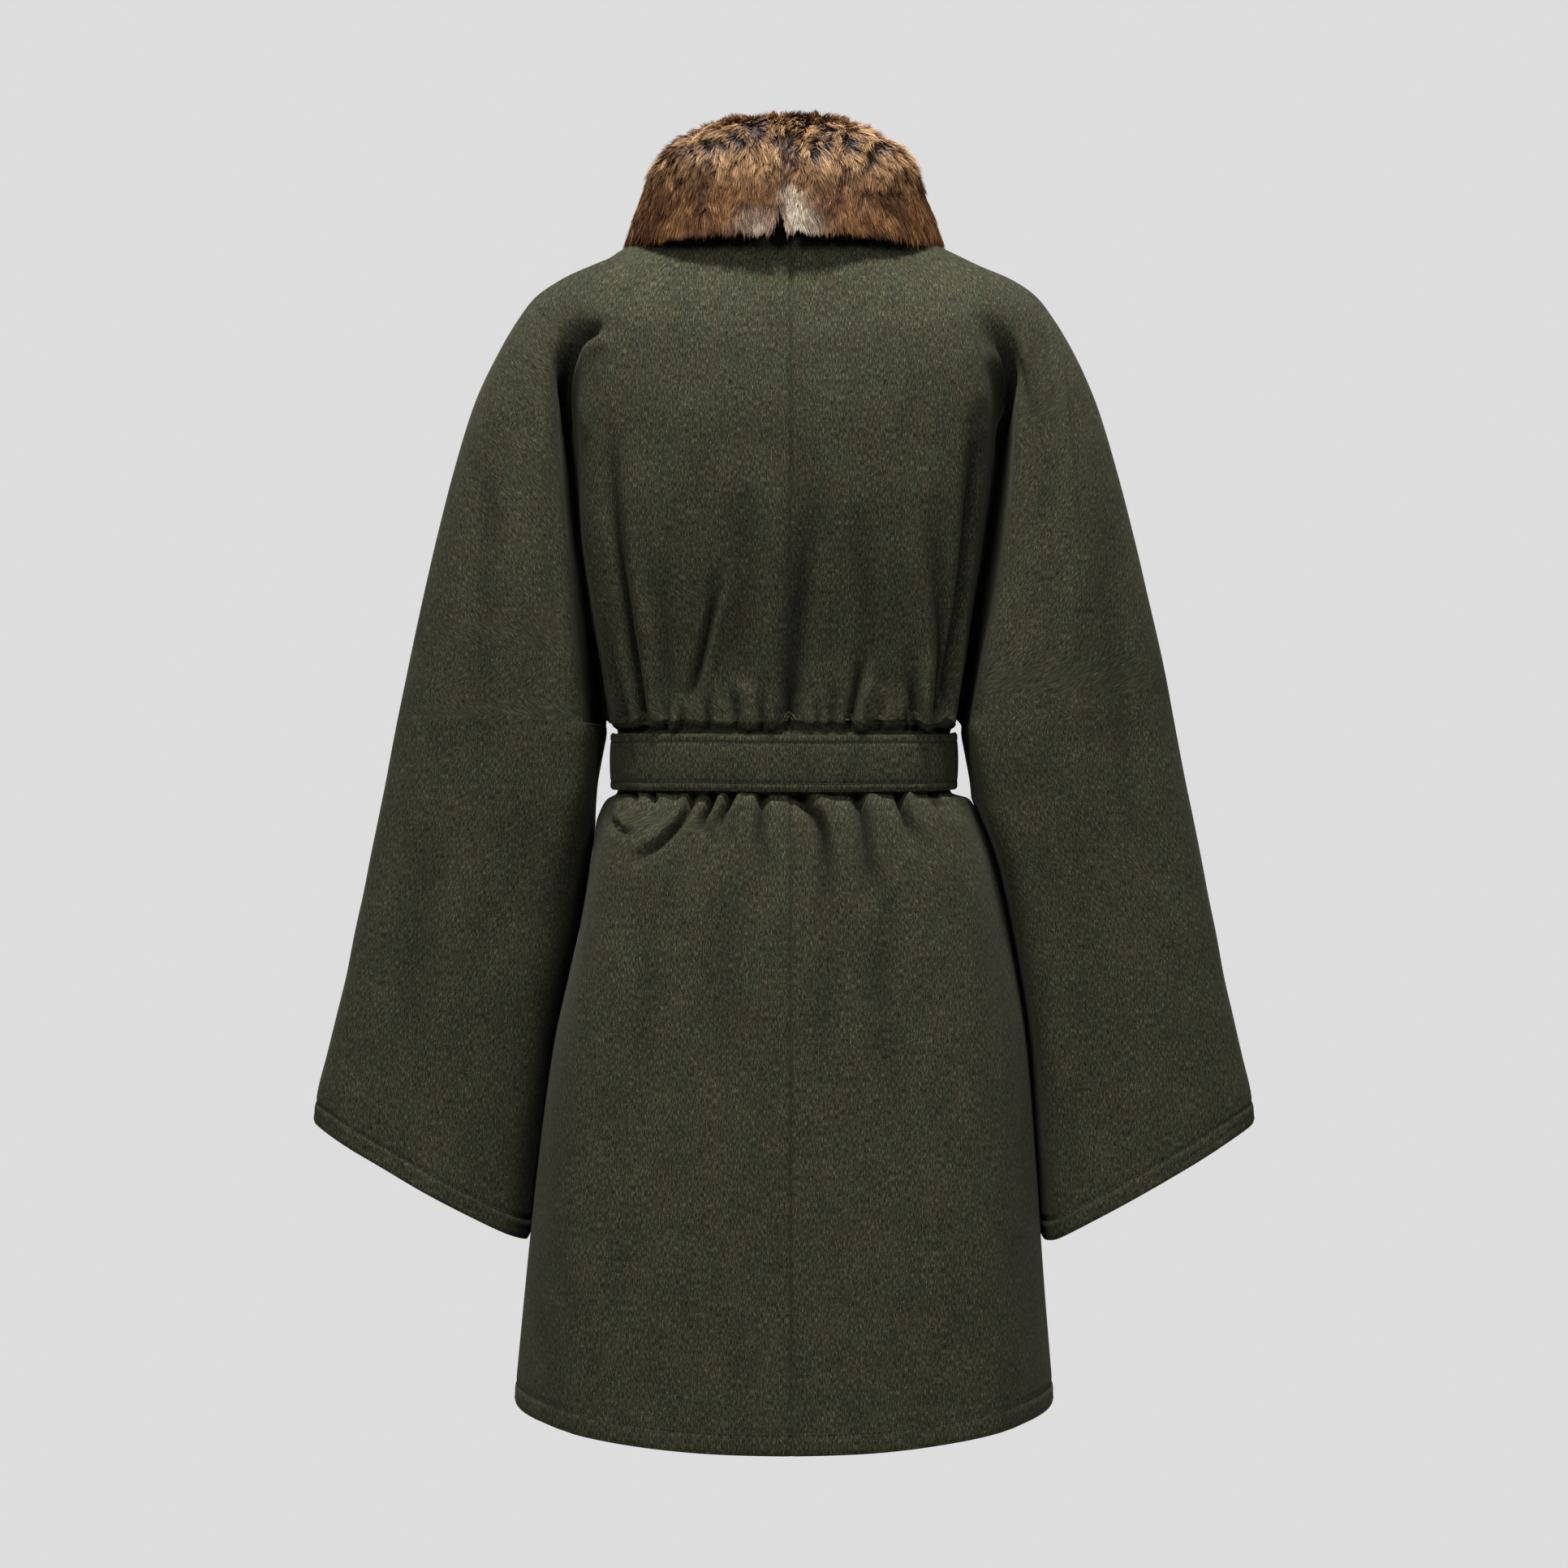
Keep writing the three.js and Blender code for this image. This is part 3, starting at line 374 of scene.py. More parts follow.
def panel_grids(side, front, strips, share):
    """Three grids of section points: upper part, skirt and sleeve."""
    def body_grid(columns, table, steps, first, section, names, end):
        """Rows from the centre to where they end: the overarm or the side seam."""
        at = positions(steps, share)
        rows, (front_z, front_y) = read_rows(columns, table, at), front_line(at + first)
        grid = []
        for i in range(first > 0, len(at)):
            r = row_of(rows, i)
            path, marks = section(r, front_y[i] / abs(r.yc) if front else 1, side)
            width, height = end(r)
            lap = -min(LAP_REACH, LAP_REACH_SHARE * width)
            xy = spread(path, marks, dict(zip(names, strips)), lap if front else side * BACK_SEAM_X)
            centre = front_z[i] if front else r.zc
            z = centre + (height - centre) * (xy[:, 0] / width) ** 2
            grid.append(np.column_stack([xy, z]))
        return np.array(grid)

    upper = body_grid(UPPER_COLUMNS, UPPER, UPPER_STEPS, 0, upper_section,
                      ("body", "valley", "sleeve", "overarm"),
                      lambda r: (r.xo + side * r.do, r.zo))
    skirt = body_grid(SKIRT_COLUMNS, SKIRT, SKIRT_STEPS, CROTCH_ROW, skirt_section,
                      ("body", "side"), lambda r: (r.xs, r.zs))

    at = positions(SLEEVE_STEPS, share)
    rows = read_rows(SLEEVE_COLUMNS, SLEEVE, at)
    beside = skirt_half_width(rows["zi"], side) + SLEEVE_CLEARANCE
    rows["xi"] = np.maximum(rows["xi"], beside)
    sleeve = []
    for i in range(1, len(at)):
        r = row_of(rows, i)
        path, marks = sleeve_section(r, side)
        xy = spread(path, marks, dict(sleeve=strips[2], overarm=strips[3]))
        xo = r.xo + side * r.do
        z = r.zi + (r.zo - r.zi) * (xy[:, 0] - r.xi) / (xo - r.xi)
        sleeve.append(np.column_stack([xy, z]))
    return upper, skirt, np.array(sleeve)


def arm_shift(x, z):
    return ARM_PITCH * smooth_step(140, 230, np.abs(x)) * smooth_step(-100, -700, z)


# ---- folds ----
def seen_from_behind(points):
    """Where points of the back appear on the plane y = 0 for the camera behind."""
    share = CAMERA_DISTANCE / (CAMERA_DISTANCE + points[:, 1])
    return np.column_stack([points[:, 0] * share,
                            CAMERA_HEIGHT + (points[:, 2] - CAMERA_HEIGHT) * share])


def fold_offset(xz, folds):
    """Outward offset of each point, troughs and ridges along drawn lines, and how deep in, as shade
    to paint into the colour.
    """
    total, deep = np.zeros(len(xz)), np.zeros(len(xz))
    for width, depth, head, tail, side, share, path in folds:
        line = resample(np.reshape(path, (-1, 2)).astype(float), 28)
        line = np.stack([np.convolve(np.pad(line[:, k], 3, mode="edge"), np.ones(7) / 7, "valid")
                         for k in (0, 1)], 1)
        reach = width * 5
        near = np.all((xz > line.min(0) - reach) & (xz < line.max(0) + reach), axis=1)
        if not near.any():
            continue
        spot = xz[near]
        best = np.full(len(spot), 1e9)
        across, along = np.zeros(len(spot)), np.zeros(len(spot))
        for i in range(len(line) - 1):
            step = line[i + 1] - line[i]
            length = np.linalg.norm(step)
            away = spot - line[i]
            raw = away @ step / length ** 2
            low = -9.0 if i == 0 else 0.0
            high = 9.0 if i == len(line) - 2 else 1.0
            t = np.clip(raw, low, high)
            gap = away - t[:, None] * step
            distance = np.hypot(gap[:, 0], gap[:, 1])
            closer = distance < best
            best[closer] = distance[closer]
            sign = np.sign(step[0] * away[:, 1] - step[1] * away[:, 0])
            across[closer] = (distance * sign)[closer]
            along[closer] = ((i + t) / (len(line) - 1))[closer]
        ends = smooth_step(-0.08, head, along) * (1 - smooth_step(1 - tail, 1.08, along))
        wide = width * (0.8 + 0.5 * (1 - ends))
        shape = -bell(across, wide) + share * bell(across - side * 1.9 * wide, 1.5 * wide)
        total[near] += FOLD_DEPTH * depth * ends * shape
        # painted shade: the colour darkens along the bottom of each trough, where shade falls
        trough = ends * bell(across, 0.85 * wide) * min(1, max(0, depth) / 4.5)
        deep[near] = np.maximum(deep[near], trough)
    return total, deep


def noise_values(places):
    return np.array([noise.noise(Vector(p)) for p in places])


def unevenness(points, amount, seed):
    """Slow random swell of the cloth, in long bands that run down it as it hangs."""
    lean = 0.22 * np.sign(points[:, 0]) * smooth_step(130, 190, np.abs(points[:, 0]))
    place = np.column_stack([points[:, 0] + lean * points[:, 2], points[:, 1], points[:, 2]])
    return amount * noise_values(place / (42, 90, 230) + (seed, -seed, 3.7 * seed))


# ---- meshes ----
def grid_ids(grid, first=0):
    rows, columns = grid.shape[:2]
    return first + np.arange(rows * columns).reshape(rows, columns)


def grid_faces(ids):
    a, b = ids[:-1, :-1].ravel(), ids[1:, :-1].ravel()
    c, d = ids[1:, 1:].ravel(), ids[:-1, 1:].ravel()
    return np.stack([a, b, c, d], 1)


def point_normals(points, faces):
    a, b, c, d = (points[faces[:, k]] for k in range(4))
    face = np.cross(c - a, d - b)
    out = np.zeros_like(points)
    for k in range(4):
        np.add.at(out, faces[:, k], face)
    return unit(out)


def border_edges(faces):
    edges = np.concatenate([faces[:, [k, (k + 1) % 4]] for k in range(4)])
    size = int(faces.max()) + 1
    key, back = edges[:, 0] * size + edges[:, 1], edges[:, 1] * size + edges[:, 0]
    return edges[~np.isin(key, back)]


def make_object(name, points, faces, uv=None, material=None, sharp=None, colour=None):
    """Mesh object from points in millimetres and faces of equal size."""
    mesh = bpy.data.meshes.new(name)
    points = np.asarray(points, np.float32) * MM
    faces = np.asarray(faces, np.int32)
    mesh.vertices.add(len(points))
    mesh.vertices.foreach_set("co", points.ravel())
    mesh.loops.add(faces.size)
    mesh.loops.foreach_set("vertex_index", faces.ravel())
    mesh.polygons.add(len(faces))
    mesh.polygons.foreach_set("loop_start", np.arange(len(faces), dtype=np.int32) * faces.shape[1])
    mesh.polygons.foreach_set("use_smooth", np.ones(len(faces), bool))
    mesh.update(calc_edges=True)
    if uv is not None:
        layer = mesh.uv_layers.new(name="grain")
        layer.data.foreach_set("uv", np.asarray(uv, np.float32)[faces.ravel()].ravel())
    if colour is not None:
        layer = mesh.color_attributes.new("tint_and_painted_shade", "FLOAT_COLOR", "POINT")
        layer.data.foreach_set("color", np.asarray(colour, np.float32).ravel())
    if sharp is not None:
        mesh.set_sharp_from_angle(angle=math.radians(sharp))
    if material is not None:
        mesh.materials.append(material)
    made = bpy.data.objects.new(name, mesh)
    bpy.context.scene.collection.objects.link(made)
    return made


def cloth_shell(name, outer, faces, uv, wall, material, lock=None, keep=None, shade=None):
    """Closed cloth: outer points, their copies moved in by the wall, and rims."""
    normals = point_normals(outer, faces)
    if lock is not None:
        for axis in (0, 1):
            normals[lock == axis, axis] = 0
    normals = unit(normals)
    inner = outer - normals * np.reshape(wall, (-1, 1))
    if keep:
        inner = keep(inner)
    count = len(outer)
    rim = border_edges(faces)
    rims = np.stack([rim[:, 1], rim[:, 0], rim[:, 0] + count, rim[:, 1] + count], 1)
    every = np.concatenate([faces, faces[:, ::-1] + count, rims])
    tone = np.ones((2 * count, 4))
    # the shade is painted into the outer surface's colour attribute
    if shade is not None:
        tone[:count, :3] -= shade[:, None]
    return make_object(name, np.concatenate([outer, inner]), every, np.concatenate([uv, uv]),
                       material, sharp=48, colour=tone)


def run_length(grid):
    """Length along each column from its last row upwards, and along each row."""
    up = np.linalg.norm(np.diff(grid, axis=0), axis=2)
    from_end = np.append(np.cumsum(up[::-1], axis=0)[::-1], np.zeros((1, grid.shape[1])), 0)
    across = np.linalg.norm(np.diff(grid, axis=1), axis=2)
    from_start = np.append(np.zeros((grid.shape[0], 1)), np.cumsum(across, axis=1), 1)
    return from_end, from_start


def drape(points, normals, front, folds):
    """Folds and a slow swell, kept off the seams and the strip under the belt, and shade."""
    facing = smooth_step(0.15, 0.5, normals[:, 1] if front else -normals[:, 1])
    offset, deep = fold_offset(points[:, [0, 2]] if front else seen_from_behind(points), folds)
    offset, deep = offset * facing, deep * facing
    level, body = points[:, 2], smooth_step(131, 128, np.abs(points[:, 0]))
    under_belt = smooth_step(STRIP_TOP + 3, STRIP_TOP - 2, level) * body
    under_belt *= smooth_step(STRIP_FOOT - 5, STRIP_FOOT, level)
    offset = np.where(offset > 0, offset * (1 - under_belt), offset)
    seam = np.minimum(np.abs(points[:, 1] - arm_shift(points[:, 0], level)), 50) / 50
    offset += unevenness(points, 2.6, 2 + 3 * front) * seam * facing * (1 - under_belt)
    drawn_in = 4.0 * smooth_step(-240, -340, level)
    drawn_in *= smooth_step(STRIP_TOP - 2, STRIP_TOP + 10, level)
    offset -= drawn_in * facing * smooth_step(150, 120, np.abs(points[:, 0]))
    # painted shadow: the colour is darkened in a band just above the belt's top edge
    deep = np.maximum(deep, 0.75 * bell(level - STRIP_TOP - 3, 5) * body * facing)
    return offset, deep


def shade_hollows(points, deep, ids_upper, ids_sleeve, strips):
    """Paints shade into the colour under the arm and where the sleeve meets the side."""
    first, last = strips[0], sum(strips[:3])
    hollow = ids_upper[:, first:last + 1]
    start, end = points[hollow[:, :1], 1], points[hollow[:, -1:], 1]
    chord = start + (end - start) * (np.arange(last - first + 1) / (last - first))
    sunk = np.abs(points[hollow, 1] - chord)
    deep[hollow] = np.maximum(deep[hollow], smooth_step(5, 32, sunk))
    inner = ids_sleeve[:, :strips[2] + 1]
    # painted shade on the sleeve's inner side, next to the body
    beside = np.abs(points[inner, 1] - arm_shift(points[inner, 0], points[inner, 2]))
    deep[inner] = np.maximum(deep[inner], 1 - smooth_step(34, 68, beside))


def hem_distance(points, grids):
    """Length along the cloth from each point down to the hem or cuff."""
    hem = np.full(len(points), 1e3)
    for ids in grids:
        from_end, _ = run_length(points[ids])
        hem[ids.ravel()] = np.minimum(hem[ids.ravel()], from_end.ravel())
    return hem


def make_panel(name, side, front, strips, share, folds, material):
    """One panel, body and cape sleeve cut in one, with its folds, hem and stitches."""
    upper, skirt, sleeve = panel_grids(side, front, strips, share)
    valley = strips[0] + strips[1]
    points = np.concatenate([grid.reshape(-1, 3) for grid in (upper, skirt, sleeve)])
    ids_upper = grid_ids(upper)
    ids_skirt = grid_ids(skirt, ids_upper.size)
    ids_sleeve = grid_ids(sleeve, ids_upper.size + ids_skirt.size)
    body_ids = np.concatenate([ids_upper[-1:, :valley + 1], ids_skirt])
    arm_ids = np.concatenate([ids_upper[-1:, valley:], ids_sleeve])

    points[:, 1] = np.abs(points[:, 1]) if front else points[:, 1]
    points[:, 0] *= side
    points[:, 1] += arm_shift(points[:, 0], points[:, 2])
    faces = np.concatenate([grid_faces(ids) for ids in (ids_upper, body_ids, arm_ids)])
    if (side < 0) != front:
        faces = faces[:, ::-1]

    normals = point_normals(points, faces)
    if front and side > 0:
        near_neck = smooth_step(-120, -40, points[:, 2])
        low, high = 62 - 24 * near_neck, 95 - 39 * near_neck
        lap = 1 - np.clip((points[:, 0] - low) / (high - low), 0, 1)
        points += normals * (LAP_LIFT * lap * lap * (3 - 2 * lap))[:, None]

    # deep: how much shade to paint into the cloth colour in creases, hollows and above the belt
    offset, deep = drape(points, normals, front, folds)
    shade_hollows(points, deep, ids_upper, ids_sleeve, strips)

    # hem groove, turned edge and seam groove
    hem = hem_distance(points, (body_ids, arm_ids))
    offset -= 0.75 * bell(hem - HEM_DEPTH, 1.3) - 0.35 * bell(hem - HEM_DEPTH + 4.5, 3)
    offset -= 0.9 * bell(hem, 1.2)
    if not front:
        seam_gap = np.abs(points[:, 0] - BACK_SEAM_X)
        offset -= 2.2 * bell(seam_gap, 1.5) - 0.3 * bell(seam_gap - 4.5, 2.4)
    seams = np.concatenate([ids_upper[:, -1], ids_sleeve[:, -1], ids_skirt[:, -1],
                            ids_sleeve[:, 0]])
    offset[seams] -= 0.5
    points = points + normals * offset[:, None]

    # grain coordinates: along the rows from the centre, and down the columns
    across = np.zeros(len(points))
    for ids in (ids_upper, ids_skirt, ids_sleeve):
        across[ids.ravel()] = run_length(points[ids])[1].ravel()
    across[ids_sleeve.ravel()] += across[ids_upper[-1, valley]]
    uv = np.column_stack([across, points[:, 2]]) * MM + (side * 0.7, 1.3 * front)

    lock = np.full(len(points), -1)
    if not front:
        lock[ids_upper[:, 0]] = lock[ids_skirt[:, 0]] = 0
    lock[seams] = 1
    outward = 1 if front else -1

    def keep(inner):
        plane = arm_shift(inner[:, 0], inner[:, 2])
        inner[:, 1] = np.where((inner[:, 1] - plane) * outward < 0, plane, inner[:, 1])
        return inner

    wall = WALL + 1.4 * (1 - smooth_step(HEM_DEPTH - 1, HEM_DEPTH + 2, hem))
    shift = np.array([0, outward * SEAM_GAP / 2, 0])
    # the last argument is the shade painted into the cloth colour
    piece = cloth_shell(name, points + shift, faces, uv, wall, material, lock,
                        lambda p: keep(p - shift) + shift, PAINTED_SHADE_STRENGTH * deep)
    lines = [stitch_line(points + shift, ids, hem) for ids in (body_ids, arm_ids)]
    return piece, lines


def stitch_line(points, ids, hem):
    """Points of the hem's stitch line, one for each column, with the way out."""
    line = []
    for c in range(ids.shape[1]):
        column = ids[:, c]
        order = np.argsort(hem[column])
        line.append([np.interp(HEM_DEPTH, hem[column][order], points[column][order, k])
                     for k in range(3)])
    return np.array(line)


def make_stitches(name, lines, length, pitch, thick, material):
    """Short thread stitches laid along lines: a joined mesh of small bars."""
    all_points, all_faces = [], []
    box = np.array([(x, y, z) for x in (-1, 1) for y in (-1, 1) for z in (-1, 1)], float)
    sides = np.array([(0, 1, 3, 2), (4, 6, 7, 5), (0, 4, 5, 1), (2, 3, 7, 6), (0, 2, 6, 4),
                      (1, 5, 7, 3)])
    for line in lines:
        total = np.linalg.norm(np.diff(line, axis=0), axis=1).sum()
        count = int(total / pitch)
        spots = resample(line, count * 4)
        for i in range(count):
            a, b = spots[i * 4], spots[i * 4 + 3]
            along = (b - a) / max(1e-6, np.linalg.norm(b - a))
            middle = (a + b) / 2
            out = np.array([middle[0] * 0.2, middle[1], 0.0])
            out -= along * (out @ along)
            out /= max(1e-6, np.linalg.norm(out))
            across = np.cross(along, out)
            axes = np.stack([along * length / 2, out * thick / 2, across * thick / 2])
            all_faces.append(sides + 8 * len(all_points))
            all_points.append(middle + out * 0.1 + box @ axes)
    return make_object(name, np.concatenate(all_points), np.concatenate(all_faces),
                       material=material)


# ---- belt ----
def belt_path():
    """Waist section as a path: under end, left side, back, right side, over end."""
    r = SimpleNamespace(**dict(zip(SKIRT_COLUMNS, SKIRT[2])))
    back, _ = skirt_section(r, 1, 0)
    front, _ = skirt_section(r, FRONT_LINE[CROTCH_ROW + 2][1] / abs(r.yc), 0)
    front = np.column_stack([front[:, 0], np.abs(front[:, 1])])
    right = np.concatenate([back, front[::-1][1:]])
    left = (right * (-1, 1))[::-1]
    rising = front[np.append(True, np.diff(front[:, 0]) > 1e-9)]

    def front_bit(start, stop):
        xs = np.linspace(start, stop, 14)[:-1]
        return np.column_stack([xs, np.interp(np.abs(xs), rising[:, 0], rising[:, 1])])

    return np.concatenate([front_bit(BELT_UNDER_END_X, 0), left, right[1:-1],
                           front_bit(0, BELT_OVER_END_X)])


def make_belt(material, thread):
    stations = 300
    path = resample(belt_path(), stations)
    half = BELT_HEIGHT / 2
    upper = np.array([6, 11, 13.4, 14.0, BELT_STITCH_ROW, 15.0, 15.6, 17, 19.2, 20.2, half])
    heights = np.concatenate([-upper[::-1], [0], upper])
    round_off = 1.0 * smooth_step(half - 1.6, half, np.abs(heights))
    groove = 0.6 * bell(np.abs(heights) - BELT_STITCH_ROW, 0.7)
    puff = 0.7 * (1 - (heights / BELT_STITCH_ROW) ** 2) * (np.abs(heights) < BELT_STITCH_ROW)
    loops, lines, run = [], [[], []], 0.0
    for i, (x, y) in enumerate(path):
        before, after = path[max(0, i - 1)], path[min(stations, i + 1)]
        tangent = (after - before) / np.linalg.norm(after - before)
        normal = np.array([tangent[1], -tangent[0]])
        over = float(1 - smooth_step(60, 104, x)) if i > stations / 2 and y > 0 else 0.0
        lifted = float((1 - smooth_step(92, 116, x)) * smooth_step(-112, -70, x)) if y > 0 else 0
        inner = BELT_CLEARANCE + (LAP_LIFT + 0.2) * lifted + over * (BELT_THICKNESS + 0.6)
        wave = 0.5 * math.sin(run / 23.0) + 0.35 * math.sin(run / 9.1 + 1.0)
        pucker = 0.18 * math.sin(run / 1.9)
        level = BELT_LEVEL - BELT_SAG * min(1, abs(y) / 95) + 0.35 * math.sin(run / 41.0)
        outer = inner + BELT_THICKNESS - round_off - groove + puff * (1 + 0.3 * wave)
        outer = outer + pucker * bell(np.abs(heights) - 17, 2.5)

        def at(o, h):
            return x + normal[0] * o, y + normal[1] * o, level + h + 0.3 * wave

        loops.append([at(o, h) for o, h in zip(outer, heights)]
                     + [at(inner, h) for h in (half - 0.8, 0, -half + 0.8)])
        for line, h in zip(lines, (-BELT_STITCH_ROW, BELT_STITCH_ROW)):
            line.append(at(inner + BELT_THICKNESS - 0.45, h))
        run += 2.7
    loops = np.array(loops)[:, ::-1]
    size = loops.shape[1]
    ids = grid_ids(loops)
    ids = np.concatenate([ids, ids[:, :1]], 1)
    faces = grid_faces(ids)
    middle = loops.mean(1)
    caps = [[ids[r, k], ids[r, k + 1], ids[r, size - 2 - k], ids[r, size - 1 - k]][::-turn]
            for r, turn in ((0, 1), (len(loops) - 1, -1)) for k in range((size - 2) // 2)]
    run = np.append(0, np.cumsum(np.linalg.norm(np.diff(middle, axis=0), axis=1)))
    uv = np.stack([np.repeat(run, size), loops[:, :, 2].ravel()], 1) * MM
    belt = make_object("belt_cloth", loops.reshape(-1, 3), np.concatenate([faces, caps]),
                       uv, material, sharp=50, colour=np.ones((loops.size // 3, 4)))
    close_holes(belt)
    threads = make_stitches("belt_stitches", [np.array(line) for line in lines], 2.9, 3.9, 0.5,
                            thread)
    return belt, threads


def close_holes(piece):
    bm = bmesh.new()
    bm.from_mesh(piece.data)
    holes = [e for e in bm.edges if e.is_boundary]
    if holes:
        bmesh.ops.holes_fill(bm, edges=holes, sides=0)
    bmesh.ops.recalc_face_normals(bm, faces=bm.faces)
    bm.to_mesh(piece.data)
    bm.free()


# ---- collar ----
def collar_columns(t):
    """Collar sizes at stations t from 0 (centre back) to 1 (centre front)."""
    table = np.array(COLLAR, float)
    last = len(table) - 1
    mirror = np.array([-1, 1, 1] * 3)
    table = np.concatenate([[table[1] * mirror], table, [2 * table[-1] - table[-2]]])
    place = np.abs(t) * last
    i = np.minimum(last - 1, np.floor(place).astype(int))
    u = (place - i)[:, None]
    a, b, c, d = (table[i + k] for k in range(4))
    value = 0.5 * (2 * b + (c - a) * u + (2 * a - 5 * b + 4 * c - d) * u ** 2
                   + (3 * b - a - 3 * c + d) * u ** 3)
    value[t < 0] *= mirror
    return value


def collar_grid(stations, across):
    """Middle layer of the fur U, the way to its face and the way along the nap."""
    middle, face, nap = [], [], []
    for row in collar_columns(stations):
        foot, roll, edge = row[:3], row[3:6], row[6:]
        out = np.array([edge[0] - foot[0], edge[1] - foot[1], 0])
        reach = np.linalg.norm(out)
        out /= reach
        at = (roll - foot) @ out
        path, _ = rounded_path([
            (0, foot[2]), (at - 15, roll[2] - 5, 12), (at + 1, roll[2] + 2),
            (at + 16, roll[2] - 7, 12), (reach, edge[2]),
        ])
        line = resample(path, across)
        step = unit(np.gradient(line, axis=0))
        middle.append(foot * (1, 1, 0) + line[:, :1] * out + np.outer(line[:, 1], (0, 0, 1)))
        face.append(np.outer(-step[:, 1], out) + np.outer(step[:, 0], (0, 0, 1)))
        nap.append(np.outer(step[:, 0], out) + np.outer(step[:, 1], (0, 0, 1)))
    return np.array(middle), np.array(face), np.array(nap)


def collar_half(side, stations, across):
    grids = collar_grid(stations, across)
    return grids if side > 0 else [grid * (-1, 1, 1) for grid in grids]


def make_under_collar(material):
    stations = np.linspace(-1, 1, 121)
    middle, face, _ = collar_grid(stations, 30)
    outer = (middle - face * (FUR_THICKNESS / 2 + COLLAR_GAP)).reshape(-1, 3)
    faces = grid_faces(grid_ids(middle))[:, ::-1]
    down, across = run_length(middle)
    uv = np.column_stack([down.ravel(), across.ravel()]) * MM
    return cloth_shell("under_collar_cloth", outer, faces, uv, COLLAR_WALL, material)


SPLIT = 0.012
SPLIT_X = -3.0
SKIN_HALF = 2.6
# Partings of the fur as seen from behind: x, z, radius.
PARTINGS = [(-21, 83, 8), (-34, 79, 7), (5, 74, 7), (-4, 78, 5), (28, 72, 8), (31, 80, 6),
            (22, 66, 5), (-53, 70, 8), (-64, 69, 7), (-43, 74, 6), (48, 76, 6), (62, 64, 8),
            (68, 70, 7), (-74, 50, 5), (60, 40, 4), (68, 39, 4), (76, 38.5, 4), (84, 38.5, 4),
            (92, 39, 4), (100, 39, 4), (-60, 26, 5), (-86, 24, 5)]


def make_fur_skin(name, side, material):
    """The pelt under the hair: a thin U with a cleft near the centre back."""
    first = -side * SPLIT
    stations = np.concatenate([[first], np.linspace(max(first, 0) + SPLIT, 1, 60)])
    middle, face, _ = collar_half(side, stations, 30)
    outer = (middle + face * SKIN_HALF)[:, 1:-4]
    faces = grid_faces(grid_ids(outer))[:, ::-side]
    outer = outer.reshape(-1, 3)
    return cloth_shell(name, outer, faces, np.zeros((len(outer), 2)), 2 * SKIN_HALF, material)


def swirl(points, size, seed):
    return noise_values(points / size + (seed, 0, 0))


def parting_strength(seen, root):
    """How near each root is to a parting, and the way the hair is pushed from it."""
    total, push = np.zeros(len(seen)), np.zeros((len(seen), 2))
    for x, z, radius in PARTINGS:
        gap = seen - (x, z)
        away = np.hypot(gap[:, 0], gap[:, 1])
        near = bell(away, radius) * (root[:, 1] < 20)
        total = np.maximum(total, near)
        push += 2.2 * near[:, None] * gap / np.maximum(away, 1)[:, None]
    return total, push


def fur_tints(root, seen, parted):
    """Colour of each hair at its middle and its tip."""
    dark = np.array([0.066, 0.028, 0.012])
    warm = np.array([0.165, 0.072, 0.026])
    tan = np.array([0.520, 0.310, 0.150])
    pale = np.array([0.55, 0.46, 0.35])
    back = (root[:, 1] < 0).astype(float)
    patch, fine = swirl(root, 24, 0), swirl(root, 6, 9)
    mix = 0.60 + 1.2 * patch + 0.7 * fine + RNG.normal(0, 0.2, len(root))
    mix -= 0.45 * bell(seen[:, 0] - 60, 34) * bell(seen[:, 1] - 38, 22) * back
    mix -= 0.35 * bell(seen[:, 0] + 96, 22) * smooth_step(40, 10, seen[:, 1])
    tip = dark + (warm - dark) * np.clip(mix, 0, 1.15)[:, None]
    high = smooth_step(38, 74, seen[:, 1]) * np.clip(0.66 + 1.0 * fine + 0.8 * patch, 0, 1)
    golden = 0.24 * np.clip(fine + 0.5 * patch + 0.15, 0, 1)
    tip = tip + (tan - tip) * np.clip(0.85 * high + golden, 0, 1)[:, None]
    low = smooth_step(50, 16, seen[:, 1])
    cleft = bell(seen[:, 0] - 5 - 7 * low, 6 + 7 * low) * smooth_step(54, 42, seen[:, 1])
    flank = 0.5 * bell(seen[:, 0] + 20, 14) * smooth_step(38, 16, seen[:, 1])
    speck = np.clip(0.85 + 0.9 * fine + RNG.normal(0, 0.15, len(root)), 0, 1)
    light = np.clip((cleft + flank) * back * speck, 0, 0.95)[:, None]
    tip = tip + (pale - tip) * light
    middle = tip * 0.55 * (1 - light) + tip * 0.75 * light
    slate = np.array([0.050, 0.048, 0.056])
    deep = (0.9 * np.clip(parted * 1.3, 0, 1) * smooth_step(50, 64, seen[:, 1]))[:, None]
    middle = middle + (slate - middle) * deep
    middle = middle * (1 - 0.6 * parted * smooth_step(60, 48, seen[:, 1]))[:, None]
    spread_of = RNG.uniform(0.72, 1.28, (len(root), 1))
    return middle * spread_of, tip * spread_of


